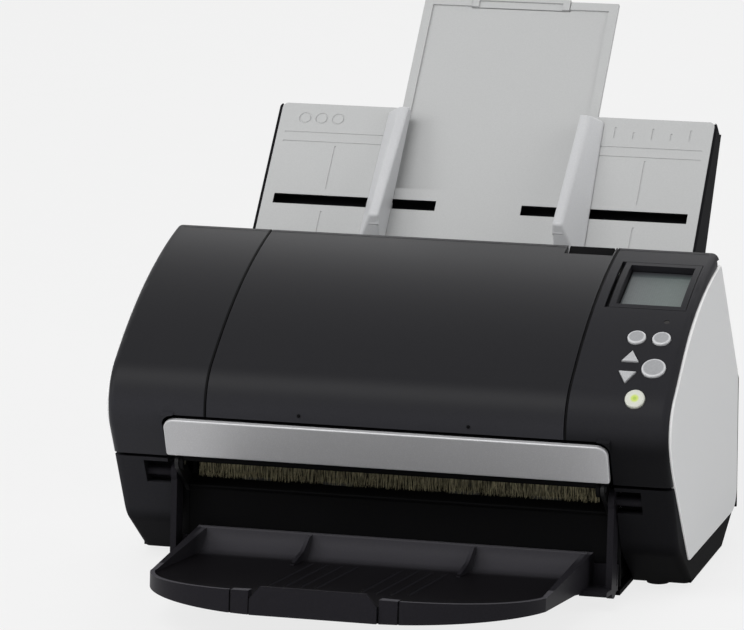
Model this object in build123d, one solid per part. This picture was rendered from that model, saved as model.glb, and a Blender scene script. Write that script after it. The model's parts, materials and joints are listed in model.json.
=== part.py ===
from build123d import *
import os
from math import atan2, cos, degrees, hypot, pi, radians, sin, sqrt

# A sheet-fed document scanner, in millimetres. X is the operator's right, -Y the front, +Z up.
# It is drawn about the middle of its housing, with the table at -foot_drop, and save_parts moves
# every piece so that the origin lies on the table at the middle of the whole footprint.

# Housing
half_width = 150.0          # over the silver side panels
panel_thick = 2.5           # silver side panel
panel_proud = 1.0           # side panel beyond the black shells
panel_gap = 0.6             # black shell to the side panel's edge
panel_round = 0.9           # rim of the side panel
wall = 2.5                  # moulded shells
front_path = [(34.0, 163.5), (-23.0, 152.0), (-96.0, 99.4), (-60.0, 24.7), (-29.0, 1.0)]
front_radii = [265.0, 30.0, 22.0]
side_path = [(36.0, 157.5), (-22.0, 148.8), (-91.5, 98.0), (-78.0, 71.0), (-35.0, 14.8),
             (86.5, 13.8), (85.5, 88.0)]
side_radii = [4.0, 190.0, 24.0, 60.0, 6.0, 12.0, 10.0]
split_z = 62.9              # parting line of base and cover at the front
split_gap = 1.8
foot_drop = 1.5             # table below the drawing's zero
foot_r = 6.0
foot_places = (-19.5, 45.0)  # y of the front and rear feet
foot_x = 130.0
base_bottom = 1.0
base_rear_kick = (52.0, 78.0, 13.4)   # underside rises between these y places to this height
pillar_inner = 119.2        # inner face of a front pillar
pillar_back = -27.0
notch = (132.7, 47.0, 60.0)  # stacker notch: outer x, z from, z to
notch_back = -60.5
notch_wall = 1.6

# Layers across the machine, from the paper outwards
paper_half = 108.0
cover_plate = (110.0, 112.0)
side_plate = (112.5, 114.5)
cover_wall = (141.5, 144.0)
base_wall = (144.5, 147.5)

# Paper path: exit lip, slope up to the throat, and the chute from there
exit_y, exit_z = -63.0, 45.0
throat_y, throat_z = 34.0, 87.1
chute_angle = 47.5
paper_gap = 1.6
guide_thick = 2.2
guide_end = 104.0           # top end of the lower guide along the path
path_angle = degrees(atan2(throat_z - exit_z, throat_y - exit_y))
exit_wall_y = (-61.0, -58.5)

# Fits
running = 0.06              # radial clearance of a shaft in its bore
clear = 0.3                 # between pieces that pass each other

# Cover hinge and frame
hinge_y, hinge_z = -76.5, 60.5
hinge_pin_r = 1.6
ear_r = 4.2
rear_wall = (27.5, 30.0)    # y of the cover frame's rear wall
rear_wall_top = 158.0
beam = (-66.0, -57.3, 60.0, 62.5)     # front beam of the cover frame: y from, y to, z from, z to

# Front cover
seam_half = 95.0            # seams between the centre section and the two ends
seam_gap = 0.5
bar_half = 118.0
bar_top, bar_bottom = (-90.3, 85.5), (-83.4, 65.0)
bar_thick = 3.0
bar_gap = 2.4               # dark gap above the bar
bar_corners = (5.5, 1.5)    # rounding of its upper and lower corners
bar_rim = 0.8
bar_backer = 2.0
side_round = 4.0            # rounding where the front turns to the sides
recess_depth = 12.0         # ledge that closes the shell above the bar
rear_flange = 8.0
lever_notch = (68.0, 94.0, 24.0)      # x from, x to, y of its front edge
lever_sink = 3.0

# Rollers: place along the path and radius
shaft_r = 3.0
nip_rise = 0.5              # tyre above the guide
eject = (14.0, 8.0)
feed = (66.0, 9.0)
pick = (98.0, 13.0)
eject_idler_r, feed_idler_r, brake_r = 4.6, 6.0, 9.0
tyre_places = (34.0, 78.0)  # centres of the tyres, both sides
tyre_width = 16.0
idler_width = 12.0
pick_width = 44.0
idler_shaft_r = 1.5
shaft_end = 116.0
window_gap = 0.8            # roller to the edge of its window

# Gears on the left
gear_module = 1.0
roller_teeth, idler_teeth, pinion_teeth = 24, 28, 16
gear_face = 3.6
gear_x = -117.0
gear_shaft_end = -118.9
motor_angle = -40.0         # motor axis seen from the feed axis
motor_r, motor_length = 13.0, 24.0
motor_shaft_r = 2.0
pick_motor_r, pick_motor_length = 11.0, 17.0

# Scan units
scan_place = 43.0
scan_window = 14.0
unit_width, unit_depth = 22.0, 24.0
glass_thick = 2.0
glass_ledge = 2.0

# Paper chute, drawn in its own slope: x across, y up the slope, z out of the face
chute_top = 170.0
chute_half = 124.0
chute_corner = 3.0          # rounded top corners
face_thick = 1.6
face_cut = (53.0, 118.0)    # opening in the face over the extension: half width, place it starts
face_gap = 0.2              # face to its black backing
backing_back = -12.0
backing_front = -9.1
backing_edge = 1.4          # black wall beside the face
backing_start = 4.0
backing_deep = (54.0, -31.0)          # behind, the backing deepens down to this place and depth
backing_skin = 2.0
slot_place, slot_width, slot_end, slot_start = 107.7, 6.3, 116.2, 24.0
rail_layer = (-4.6, -1.9)   # racks and their pinion
extension_layer = (-7.2, -6.0)
stage_layer = (-8.8, -7.5)
extension_half, extension_top, extension_length = 55.5, 248.0, 127.0
rim_height, rim_width = 1.1, 5.0
stage_half, stage_length = 50.0, 100.0
tab_half, tab_height, tab_stand = 28.0, 7.0, 4.5
guide_inner, guide_flat = 48.5, 4.0   # inner side of a guide, and the width of its top edge
guide_lean = 0.42           # its outer side's run per height
guide_low, guide_high = 84.0, 167.0
guide_tall, guide_short = 21.0, 6.0
guide_nose = 5.0            # bevel at the lower end of a guide's top edge
guide_neck = 5.0
rack_reach = 66.0           # inner end of a rack beyond the middle
rack_width = 3.0
rack_pinion_teeth = 14
pinion_boss_r = 2.0
cradle = (10.0, 50.0)       # places between which the rear cover carries the chute

# Operator panel
display_x = (101.0, 144.0)
display_y = (-25.0, 18.0)
display_groove = 2.2        # dark slot left of the bezel
display_sink = 3.0
bezel_width = 3.2
display_deep = 9.0
window_thick = 1.0
key_travel = 0.8
key_proud = 1.2
key_gap = 0.35
key_depth = 5.6
key_flange = 0.8
round_keys = {               # x, y on the surface, diameter
    "menu_button": (123.0, -46.0, 9.6),
    "stop_button": (136.0, -46.0, 9.6),
    "scan_button": (136.0, -64.3, 12.5),
    "power_button": (130.0, -80.6, 10.4),
}
arrow_keys = {               # x, y on the surface, way it points
    "up_button": (123.0, -59.0, 1),
    "down_button": (123.0, -69.0, -1),
}
arrow_size = 9.0
lamp_x, lamp_y, lamp_r = 136.0, -33.8, 1.5
board_thick = 1.6
board_drop = 7.4            # top of the panel board below the surface
board_tall = 42.0
board_posts = ((-11.0, -12.0), (-10.0, 19.0), (11.5, -1.0), (4.0, 20.0))

# Cover release: a lever in the notch and two hooks on a cross shaft
lever_axis = (8.0, 151.5)
lever_pin_r = 1.5
lever_thick = 2.2
latch_axis = (6.0, 112.0)
latch_shaft_r = 2.0
hook_x = (116.2, 118.2)
hook_low = 77.8
strike = (17.0, 83.0)
strike_r = 2.0
latch_gap = 0.4

# Stacker, drawn in its own slope: x across, y backwards, z up from its underside
tray_y, tray_z = -64.0, 3.9
tray_tilt = 6.4
tray_rear_half = 106.0
tray_corner, tray_bend, tray_flat, tray_nose = (103.0, -95.0), (80.5, -134.8), (45.0, -154.0), -156.5
tray_deck, tray_floor = 8.0, 2.4
tray_lip_top, tray_lip_corner, tray_lift = 12.6, 9.0, 2.6
tray_skirt = 2.4
tray_wall_lean, tray_wall_top = 4.2, 20.0
cove_r = 15.0
fin_x, fin_reach, fin_thick = 44.0, 42.0, 2.0
arm_x = (115.2, 118.4)
arm_r = 6.5
pivot_y, pivot_z = -68.5, 53.0
pivot_r = 2.4
drawer_half, drawer_length = 43.5, 100.0
drawer_layer = (1.4, 4.4)
drawer_front = 8.0          # depth of the drawer's front pieces
tray_bottom = 1.1
tray_bottom_end = -142.0
stopper_half, stopper_top_half = 32.5, 27.0
stopper_tongue = 22.0
stopper_axis = (-152.0, 6.2)
stopper_low, stopper_high = 0.4, 14.9
stopper_thick = 2.4
stopper_pin_r = 1.4
lip_gap = 0.9               # cut lines beside the stopper and the drawer's front pieces

# Brush
brush_y, brush_thick = -59.0, 3.0
brush_half = 108.4
brush_top, brush_bottom, bristle_tip = 60.0, 56.6, 48.6
bristle_count = 380
bristle_width = 0.36
bristle_rows = 2
bristle_spread = 0.9        # tips and lengths differ by this much
bristle_root = 0.5

# Boards and sockets at the back
board_y = 69.6              # rear face of the main board
board_x, board_z = (-90.0, -14.0), (20.0, 72.0)
boss_r = 3.0
usb = (-62.0, -50.0, 24.0, 35.0)      # x from, x to, z from, z to
inlet = (-34.0, 30.0, 5.0)            # x, z, radius
screw_r, screw_head_r, screw_head = 1.3, 3.0, 1.8
screw_places = ((-105.0, 26.0), (105.0, 26.0), (-105.0, 74.0), (105.0, 74.0))
screw_length = 8.0


def inset(path, distance):
    """The same open path moved inwards (to its left hand) by a distance, with mitred corners."""
    lines = []
    for (y0, z0), (y1, z1) in zip(path, path[1:]):
        length = hypot(y1 - y0, z1 - z0)
        shift_y = -(z1 - z0) / length * distance
        shift_z = (y1 - y0) / length * distance
        lines.append(((y0 + shift_y, z0 + shift_z), (y1 + shift_y, z1 + shift_z)))
    moved = [lines[0][0]]
    for (a, b), (c, d) in zip(lines, lines[1:]):
        u = (b[0] - a[0], b[1] - a[1])
        v = (d[0] - c[0], d[1] - c[1])
        t = ((c[0] - a[0]) * v[1] - (c[1] - a[1]) * v[0]) / (u[0] * v[1] - u[1] * v[0])
        moved.append((a[0] + t * u[0], a[1] + t * u[1]))
    moved.append(lines[-1][1])
    return moved


def filleted(path, radii):
    """Edges of an open path of straight runs and arcs."""
    return FilletPolyline(*path, radius=list(radii)).edges()


def band(path, radii, thick):
    """A wall of even thickness inside an open path."""
    inner_path = inset(path, thick)
    outer = filleted(path, radii)
    inner = filleted(inner_path, [r - thick for r in radii])
    ends = [Line(path[0], inner_path[0]).edge(), Line(path[-1], inner_path[-1]).edge()]
    return make_face([*outer, *inner, *ends])


def region(path, radii, back):
    """The area between an open path and the corner points behind it."""
    return make_face([*filleted(path, radii), *Polyline(path[-1], *back, path[0]).edges()])


def polygon(*points):
    return make_face(Polyline(*points, close=True).edges())


def disc(centre, radius):
    """A (y, z) disc."""
    return Pos(*centre) * Circle(radius)


def link(start, end, radius):
    """A (y, z) strap with round ends."""
    reach = hypot(end[0] - start[0], end[1] - start[1])
    lean = degrees(atan2(end[1] - start[1], end[0] - start[0]))
    middle = ((start[0] + end[0]) / 2, (start[1] + end[1]) / 2)
    return Pos(*middle) * Rot(0, 0, lean) * SlotCenterToCenter(reach, 2 * radius)


def along_x(face, x0, x1):
    """A (y, z) drawing made solid from x0 to x1."""
    return extrude(Plane.YZ.offset(x0) * face, x1 - x0)


def block(x0, x1, y0, y1, z0, z1):
    """A box between two corners."""
    low = (Align.MIN, Align.MIN, Align.MIN)
    return Pos(x0, y0, z0) * Box(x1 - x0, y1 - y0, z1 - z0, align=low)


def rod(radius, x0, x1, axis):
    """A round bar along X."""
    return along_x(disc(axis, radius), x0, x1)


def other_side(solid):
    return mirror(solid, about=Plane.YZ)


def both_sides(solid):
    return solid + other_side(solid)


def front_y(z):
    """The front surface's y at a height on its straight lower run."""
    (y0, z0), (y1, z1) = front_path[2], front_path[3]
    return y0 + (y1 - y0) * (z - z0) / (z1 - z0)


def slope_normal():
    """Outward direction of the front surface's straight sloping run."""
    (y0, z0), (y1, z1) = front_path[1], front_path[2]
    length = hypot(y1 - y0, z1 - z0)
    return Vector((z1 - z0) / length, (y0 - y1) / length)


def front_arc(index):
    """Centre and radius of one of the front path's rounded corners."""
    before, corner, after = [Vector(*p) for p in front_path[index - 1:index + 2]]
    come = (corner - before).normalized()
    leave = (after - corner).normalized()
    radius = front_radii[index - 1]
    half_turn = radians(come.get_angle(leave)) / 2
    return corner + (leave - come).normalized() * (radius / cos(half_turn)), radius


def surface_at(y):
    """Height and outward direction of the sloping front surface at a y place."""
    (upper, upper_r), (lower, lower_r) = front_arc(1), front_arc(2)
    change_y = (upper.X + lower.X + slope_normal().X * (upper_r + lower_r)) / 2
    centre, radius = (upper, upper_r) if y > change_y else (lower, lower_r)
    rise = sqrt(radius**2 - (y - centre.X)**2)
    return centre.Y + rise, Vector(0, (y - centre.X) / radius, rise / radius)


def on_panel(x, y):
    """A frame on the sloping front surface: z out of it, y up the slope."""
    height, normal = surface_at(y)
    return Plane(origin=(x, y, height), x_dir=(1, 0, 0), z_dir=normal)


path_frame = Location((0, exit_y, exit_z), (path_angle, 0, 0))
chute_frame = Location((0, throat_y, throat_z), (chute_angle, 0, 0))
tray_frame = Location((0, tray_y, tray_z), (-tray_tilt, 0, 0))


def turned(origin, angle, place, height):
    """(y, z) of a point given by its place along a slope and its height over it."""
    a = radians(angle)
    y, z = origin
    return y + place * cos(a) - height * sin(a), z + place * sin(a) + height * cos(a)


def on_path(place, height):
    return turned((exit_y, exit_z), path_angle, place, height)


def on_chute(place, height):
    return turned((throat_y, throat_z), chute_angle, place, height)


def on_tray(place, height):
    return turned((tray_y, tray_z), -tray_tilt, place, height)


cover_path = front_path[:3] + [(front_y(split_z + split_gap / 2), split_z + split_gap / 2)]
pillar_path = [(front_y(split_z - split_gap / 2), split_z - split_gap / 2)] + front_path[3:]
shell_half = half_width - panel_proud
hinge_axis = (hinge_y, hinge_z)
pivot_axis = (pivot_y, pivot_z)
eject_axis = on_path(eject[0], nip_rise - eject[1])
feed_axis = on_path(feed[0], nip_rise - feed[1])
pick_axis = on_path(pick[0], nip_rise - pick[1])
eject_idler_axis = on_path(eject[0], nip_rise + clear + eject_idler_r)
feed_idler_axis = on_path(feed[0], nip_rise + clear + feed_idler_r)
brake_axis = on_path(pick[0], nip_rise + clear + brake_r)
train_axis = ((eject_axis[0] + feed_axis[0]) / 2, (eject_axis[1] + feed_axis[1]) / 2)
motor_reach = gear_module * (roller_teeth + pinion_teeth) / 2
motor_axis = (feed_axis[0] + motor_reach * cos(radians(motor_angle)),
              feed_axis[1] + motor_reach * sin(radians(motor_angle)))
unit_places = (scan_place - unit_width / 2, scan_place + unit_width / 2)
glass_places = (scan_place - scan_window / 2, scan_place + scan_window / 2)


# Base


def side_outline(grow=0.0):
    """Outline of a silver side panel, grown or shrunk."""
    face = make_face(FilletPolyline(*side_path, radius=side_radii, close=True).edges())
    return offset(face, grow) if grow else face


def side_panel():
    panel = along_x(side_outline(), half_width - panel_thick, half_width)
    return fillet(panel.faces().sort_by(Axis.X)[-1].edges(), panel_round)


def pan_outline(low, rear_slack=0.0):
    """(y, z) outline of the base pan above a floor height."""
    kick_y, rear_y, rear_z = base_rear_kick
    steep = (rear_z - base_bottom) / (rear_y - kick_y)
    lift = low - base_bottom
    return polygon((pillar_back + rear_slack, low), (kick_y - lift / 2, low),
                   (rear_y - rear_slack - lift / steep / 4, rear_z), (pillar_back + rear_slack, rear_z))


def base_pan():
    """Open tray under the machine, with a floor that reaches forward between the pillars."""
    floor_top = base_bottom + wall
    pan = along_x(pan_outline(base_bottom), -shell_half, shell_half)
    pan -= along_x(pan_outline(floor_top, wall), -base_wall[0], base_wall[0])
    between = pillar_inner - clear
    pan -= block(-between, between, pillar_back, pillar_back + wall, floor_top, base_rear_kick[2])
    pan += block(-between, between, exit_wall_y[0], pillar_back + wall, base_bottom, floor_top)
    for place in (-80, -40, 0, 40, 80):
        pan += block(place - 1, place + 1, pillar_back, base_rear_kick[0] - 8, floor_top, floor_top + 5)
    return pan


def rubber_feet():
    """Four round feet under the pan."""
    feet = [Pos(x, y, -foot_drop) * extrude(Circle(foot_r), base_bottom + foot_drop)
            for x in (-foot_x, foot_x) for y in foot_places]
    return Compound(feet)


def rounded_space():
    """Space behind the whole front surface, with the edge at the right side rounded."""
    (y0, z0), (y1, z1) = front_path[:2]
    path = [(2 * y0 - y1, 2 * z0 - z1), *front_path[1:]]
    space = along_x(region(path, front_radii, [(path[0][0], base_bottom)]), seam_half, shell_half)
    line = Plane.YZ.offset(shell_half) * Wire(filleted(path, front_radii))
    edges = [e for e in space.edges() if line.distance_to(Vertex(*e.position_at(0.5))) < 0.01]
    return fillet(edges, side_round)


def front_pillar():
    """Right-hand front column of the base, with the notch that takes the stacker's pivot."""
    top = pillar_path[0][1]
    back = [(pillar_back, base_bottom), (pillar_back, top)]
    radii = front_radii[2:]
    outer = region(pillar_path, radii, back)
    pillar = along_x(outer, pillar_inner, shell_half) & rounded_space()
    skin = inset(pillar_path, wall)
    room_path = [(skin[0][0], top - wall), skin[1], (skin[2][0], base_bottom + wall)]
    room_back = [(pillar_back + 1, base_bottom + wall), (pillar_back + 1, top - wall)]
    room = region(room_path, [radii[0] - wall], room_back)
    pillar -= along_x(room, pillar_inner + wall, base_wall[0])
    outer_x, low, high = notch
    housing = block(pillar_inner, outer_x + notch_wall, front_y(low) - 20, notch_back + notch_wall,
                    low - notch_wall, high + notch_wall)
    pillar += housing & along_x(outer, pillar_inner, shell_half - side_round)
    pillar -= block(pillar_inner - 1, outer_x, front_y(low) - 20, notch_back, low, high)
    pillar -= rod(pivot_r + running, outer_x - 1, outer_x + notch_wall + 1, pivot_axis)
    pillar -= along_x(side_outline(panel_gap / 2), base_wall[0] - 0.2, half_width)
    return pillar


def side_frame():
    """Right-hand steel plate that carries the shafts and the cover's hinge."""
    floor_top = base_bottom + wall
    outline = polygon((exit_wall_y[1] + clear, floor_top), (base_rear_kick[0] - 4, floor_top), (66, 42), (42, 72),
                      on_path(100, -1.2), on_path(4, -1.2), (exit_wall_y[1] + clear, 44))
    outline += link((exit_wall_y[1] + 6, 40), hinge_axis, ear_r)
    frame = along_x(outline, *side_plate)
    frame -= along_x(link((-30, 22), (10, 22), 9), *side_plate)
    for axis in (eject_axis, feed_axis, pick_axis):
        frame -= rod(shaft_r + running, *side_plate, axis)
    frame -= rod(hinge_pin_r + running, *side_plate, hinge_axis)
    frame += along_x(link((strike[0], strike[1] - 10), strike, strike_r + 1), *side_plate)
    return frame + rod(strike_r, side_plate[0], hook_x[1] + clear, strike)


def side_frame_left():
    """The left plate also carries the idler gear's stub and the motor."""
    frame = other_side(side_frame())
    frame += rod(motor_shaft_r, gear_shaft_end, -side_plate[1], train_axis)
    return frame - rod(motor_shaft_r + 2, -side_plate[1], -side_plate[0], motor_axis)


def hinge_pins():
    start = cover_plate[0]
    return Compound([rod(hinge_pin_r, start, side_plate[1], hinge_axis),
                     rod(hinge_pin_r, -side_plate[1], -start, hinge_axis)])


def rear_cover():
    """Rear shell with the side walls that carry the silver panels, and the chute's cradle."""
    rear_y = side_path[6][0] - 1.0
    low = base_rear_kick[2]
    path = [on_chute(cradle[0], backing_back), on_chute(cradle[1], backing_back),
            (rear_y, side_path[6][1] + 8.0), (rear_y, low)][::-1]
    shell = along_x(band(path, [6.0, 4.0], wall), -base_wall[1], base_wall[1])
    cover = shell + both_sides(along_x(side_outline(-5.0), *base_wall))
    inner_y = rear_y - wall
    for x in (board_x[0] + 6, board_x[1] - 6):
        for z in (board_z[0] + 6, board_z[1] - 6):
            cover += Plane(origin=(x, board_y, z), z_dir=(0, 1, 0)) * extrude(Circle(boss_r), inner_y - board_y)
    x0, x1, z0, z1 = usb
    cover -= block(x0 - clear, x1 + clear, inner_y - 1, rear_y + 1, z0 - clear, z1 + clear)
    x, z, radius = inlet
    cover -= Plane(origin=(x, inner_y - 1, z), z_dir=(0, 1, 0)) * extrude(Circle(radius + clear), wall + 2)
    for x, z in screw_places:
        cover += Plane(origin=(x, inner_y, z), z_dir=(0, -1, 0)) * extrude(Circle(boss_r), screw_length)
        cover -= Plane(origin=(x, rear_y + 1, z), z_dir=(0, -1, 0)) * extrude(
            Circle(screw_r), screw_length + 1)
    return cover


def screws():
    """Four pan-head screws in the rear cover."""
    rear_y = side_path[6][0] - 1.0
    pieces = []
    for x, z in screw_places:
        shank = Plane(origin=(x, rear_y, z), z_dir=(0, -1, 0)) * extrude(Circle(screw_r), screw_length - 1)
        head = Plane(origin=(x, rear_y, z), z_dir=(0, 1, 0)) * extrude(Circle(screw_head_r), screw_head)
        head = fillet(head.faces().sort_by(Axis.Y)[-1].edges(), screw_head / 2)
        slot = block(x - screw_head_r, x + screw_head_r, rear_y + screw_head - 0.7, rear_y + screw_head + 1,
                     z - 0.4, z + 0.4)
        cross = block(x - 0.4, x + 0.4, rear_y + screw_head - 0.7, rear_y + screw_head + 1,
                      z - screw_head_r, z + screw_head_r)
        reach = Plane(origin=(x, rear_y, z), z_dir=(0, 1, 0)) * extrude(Circle(screw_head_r * 0.6), screw_head + 1)
        pieces.append(shank + head - (slot & reach) - (cross & reach))
    return Compound(pieces)


# Front cover


def recess_box(x0, x1):
    """Everything below the ledge over the bar."""
    top = bar_top[1] + bar_gap
    return block(x0, x1, bar_top[0] - 10, pillar_back, split_z - 20, top)


def ledge(x0, x1):
    """Ledge that closes the cover's shell above the bar."""
    top = bar_top[1] + bar_gap
    shelf = block(x0, x1, bar_top[0] - 10, bar_top[0] + recess_depth, top, top + wall)
    return shelf & along_x(cover_side(), x0, x1)


def cover_side():
    """(y, z) area between the front surface and the cover frame's rear wall."""
    low = cover_path[-1][1]
    top = surface_at(rear_wall[1])[0] - wall
    return region(cover_path, front_radii[:2], [(rear_wall[1], low), (rear_wall[1], top),
                                                (cover_path[0][0], top)])


def flange(x0, x1):
    """Short wall that turns down at the cover's rear edge."""
    rear_y, top = cover_path[0]
    return block(x0, x1, rear_y - wall, rear_y, top - rear_flange, top - 0.4)


def lever_space():
    x0, x1, y0 = lever_notch
    return block(x0, x1, y0, cover_path[0][0] + 5, lever_axis[1] - 15, cover_path[0][1] + 5)


def front_cover():
    """Centre section of the front cover."""
    half = seam_half - seam_gap / 2
    shell = along_x(band(cover_path, front_radii[:2], wall), -half, half)
    shell += flange(-half, half)
    shell -= recess_box(-half - 1, half + 1)
    shell += ledge(-half, half)
    return shell - lever_space()


def end_shell():
    """Right-hand end of the front cover: skin, inner side wall and the strip before the side panel."""
    start = seam_half + seam_gap / 2
    shell = along_x(band(cover_path, front_radii[:2], wall), start, cover_wall[1])
    shell += flange(start, cover_wall[1])
    shell += along_x(cover_side(), *cover_wall)
    strip = along_x(cover_side(), cover_wall[1], shell_half) & rounded_space()
    shell += strip - along_x(side_outline(panel_gap), cover_wall[1], shell_half)
    shell -= recess_box(start - 1, bar_half + 1)
    return shell + ledge(start, bar_half + 1)


def display_frame():
    """A frame on the chord of the display well: origin at its middle, y up the slope."""
    (low, high) = display_y
    low_z, high_z = surface_at(low)[0], surface_at(high)[0]
    normal = Vector(0, low_z - high_z, high - low)
    middle = ((display_x[0] + display_x[1]) / 2, (low + high) / 2, (low_z + high_z) / 2)
    return Plane(origin=middle, x_dir=(1, 0, 0), z_dir=normal)


def display_block(left, shrink, low, high):
    """A block in the display well, drawn in inwards from it by shrink, and by left at its left side."""
    wide = display_x[1] - display_x[0]
    tall = hypot(display_y[1] - display_y[0], surface_at(display_y[1])[0] - surface_at(display_y[0])[0])
    width, height = wide - left - shrink, tall - 2 * shrink
    face = Pos((left - shrink) / 2, 0, 0) * Rectangle(width, height)
    return display_frame().offset(low) * extrude(face, high - low)


def display_module():
    """Bezel with the display's well, filling the opening but for a groove on its left."""
    bezel = display_block(display_groove, clear, -display_deep, 3.0)
    bezel &= along_x(cover_side(), *display_x)
    deep = display_sink + window_thick
    return bezel - display_block(display_groove + bezel_width, clear + bezel_width, -deep, 9.0)


def display_window():
    """Clear window over the display, at the bottom of its well."""
    deep = display_sink + window_thick
    return display_block(display_groove + bezel_width, clear + bezel_width, -deep, -display_sink)


def key_outline(name, grow=0.0):
    """Outline of a key, grown all round."""
    if name in round_keys:
        return Circle(round_keys[name][2] / 2 + grow)
    turn = 90 if arrow_keys[name][2] > 0 else -90
    return Rot(0, 0, turn) * RegularPolygon(arrow_size / sqrt(3) + 2 * grow, 3)


def key_plane(name):
    places = round_keys if name in round_keys else arrow_keys
    return on_panel(*places[name][:2])


def key_sag(name):
    """How far the curved skin falls away under a key's flange."""
    reach = key_outline(name, key_flange).bounding_box().size.Y / 2
    y = (round_keys.get(name) or arrow_keys.get(name))[1]
    radius = front_radii[0] if y > front_arc(2)[0].X + slope_normal().X * front_radii[1] else front_radii[1]
    return reach**2 / (2 * (radius - wall))


def key(name):
    """Key cap with the flange that keeps it in, in its place on the panel."""
    low = key_proud - key_depth
    cap = Pos(0, 0, low) * extrude(key_outline(name), key_depth)
    cap = fillet(cap.faces().sort_by(Axis.Z)[-1].edges(), 0.8)
    foot_top = -wall - key_gap - key_sag(name)
    foot = Pos(0, 0, low) * extrude(key_outline(name, key_flange), foot_top - low)
    return key_plane(name) * (cap + foot)


def panel_posts():
    """Posts that hold the panel board under the skin."""
    plane = board_plane()
    return [plane * Pos(x, y, -board_drop) * extrude(Circle(2.0), board_drop - 1)
            for x, y in board_posts]


def board_plane():
    return on_panel((cover_plate[1] + cover_wall[0]) / 2, -55.0)


def operator_panel():
    """Right-hand end of the cover, with the display well, the key holes and the board's posts."""
    panel = end_shell()
    panel -= display_block(0, 0, -display_deep, 9.0)
    for post in panel_posts():
        panel += post
    for name in [*round_keys, *arrow_keys]:
        under = key_plane(name) * Pos(0, 0, -board_drop)
        panel -= under * extrude(key_outline(name, key_gap), board_drop + 3)
        room = board_drop - wall - key_gap / 2 - key_sag(name)
        panel -= under * extrude(key_outline(name, key_flange + key_gap), room)
    return panel - on_panel(lamp_x, lamp_y) * Pos(0, 0, -wall - 1) * extrude(Circle(lamp_r + 0.1), wall + 2)


def check_lamp():
    return on_panel(lamp_x, lamp_y) * Pos(0, 0, -wall) * extrude(Circle(lamp_r), wall - 0.2)


def panel_board():
    """Board under the keys, on the panel's posts."""
    width = cover_wall[0] - cover_plate[1] - 3
    plane = board_plane()
    return plane * Pos(0, 2.5, -board_drop - board_thick) * extrude(Rectangle(width, board_tall), board_thick)


def exit_bar():
    """Silver bar across the lower edge of the cover."""
    y0, z0 = bar_bottom
    y1, z1 = bar_top
    tall = hypot(y1 - y0, z1 - z0)
    lean = degrees(atan2(y0 - y1, z1 - z0))
    plane = Plane(origin=(0, (y0 + y1) / 2, (z0 + z1) / 2), x_dir=(1, 0, 0),
                  z_dir=(0, -cos(radians(lean)), -sin(radians(lean))))
    face = Rectangle(2 * bar_half, tall)
    upper, lower = bar_corners
    corners = face.vertices().group_by(Axis.Y)
    plane_top_first = plane.y_dir.Z > 0
    tops, bottoms = (corners[-1], corners[0]) if plane_top_first else (corners[0], corners[-1])
    face = fillet(tops, upper)
    face = fillet(face.vertices().group_by(Axis.Y)[0 if plane_top_first else -1], lower)
    bar = plane.offset(-bar_thick) * extrude(face, bar_thick)
    return fillet(bar.faces().sort_by(Axis.Y)[0].edges(), bar_rim)


def bar_line(depth):
    """Ends of a line parallel to the bar's face, deeper in by a distance."""
    return inset([bar_top, bar_bottom], depth)


def cover_frame():
    """Inner moulding of the cover: side plates with hinge ears, rear wall, front beam, bar backer."""
    slack = wall + clear
    path = inset(cover_path, slack)
    low_rear, low_front = on_path(101, paper_gap), on_path(8, paper_gap)
    outline = region(path, [r - slack for r in front_radii[:2]],
                     [(beam[0], beam[2]), (beam[1], beam[2]), (low_front[0], beam[2] - 4), low_front,
                      low_rear, (path[0][0], low_rear[1] + 1)])
    outline -= Pos(rear_wall[0] + 50, rear_wall_top) * Rectangle(100, 200)
    outline += disc(hinge_axis, ear_r)
    plate = along_x(outline, *cover_plate)
    frame = both_sides(plate)
    inner = cover_plate[0]
    wall_low = on_path(101, paper_gap + 2 * guide_thick)[1] + 1
    frame += block(-cover_wall[0] + clear, cover_wall[0] - clear, *rear_wall, wall_low, rear_wall_top - 10)
    frame += block(-seam_half, seam_half, *rear_wall, rear_wall_top - 11, rear_wall_top)
    frame += block(-inner, inner, *beam)
    outer_line, inner_line = bar_line(bar_thick), bar_line(bar_thick + bar_backer)
    frame += along_x(polygon(*outer_line, *inner_line[::-1]), -inner, inner)
    web_z = inner_line[1][1] - wall
    frame += block(-inner, inner, inner_line[1][0] - 1, beam[0] + 1, beam[3] - 0.5, beam[3] + wall)
    frame -= lever_space() & block(lever_notch[0] - 1, lever_notch[1] + 1, rear_wall[0] - 9, rear_wall[1] + 9,
                                   lever_axis[1] - 4, rear_wall_top + 9)
    for x in (lever_notch[0] - 2, lever_notch[1]):
        ear = link((rear_wall[0] + 1, lever_axis[1]), lever_axis, 3.0)
        frame += along_x(ear, x, x + 2) - rod(lever_pin_r + running, x, x + 2, lever_axis)
    half = pick_width / 2 + 2
    frame -= block(-half, half, rear_wall[0] - 1, rear_wall[1] + 1, wall_low - 1, brake_axis[1] + brake_r + 2)
    frame -= display_block(-clear, -clear, -display_deep - clear, 9.0)
    shelf_z = bar_top[1] + bar_gap
    frame -= block(-bar_half - 1, bar_half + 1, bar_top[0] - 10, bar_top[0] + recess_depth + clear,
                   shelf_z - clear, shelf_z + wall + clear)
    bores = ((hinge_axis, hinge_pin_r), (eject_idler_axis, idler_shaft_r), (feed_idler_axis, idler_shaft_r),
             (brake_axis, idler_shaft_r), (latch_axis, latch_shaft_r))
    for axis, radius in bores:
        for x in (-cover_plate[1], cover_plate[0]):
            frame -= rod(radius + running, x, x + cover_plate[1] - cover_plate[0], axis)
    return frame


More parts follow.
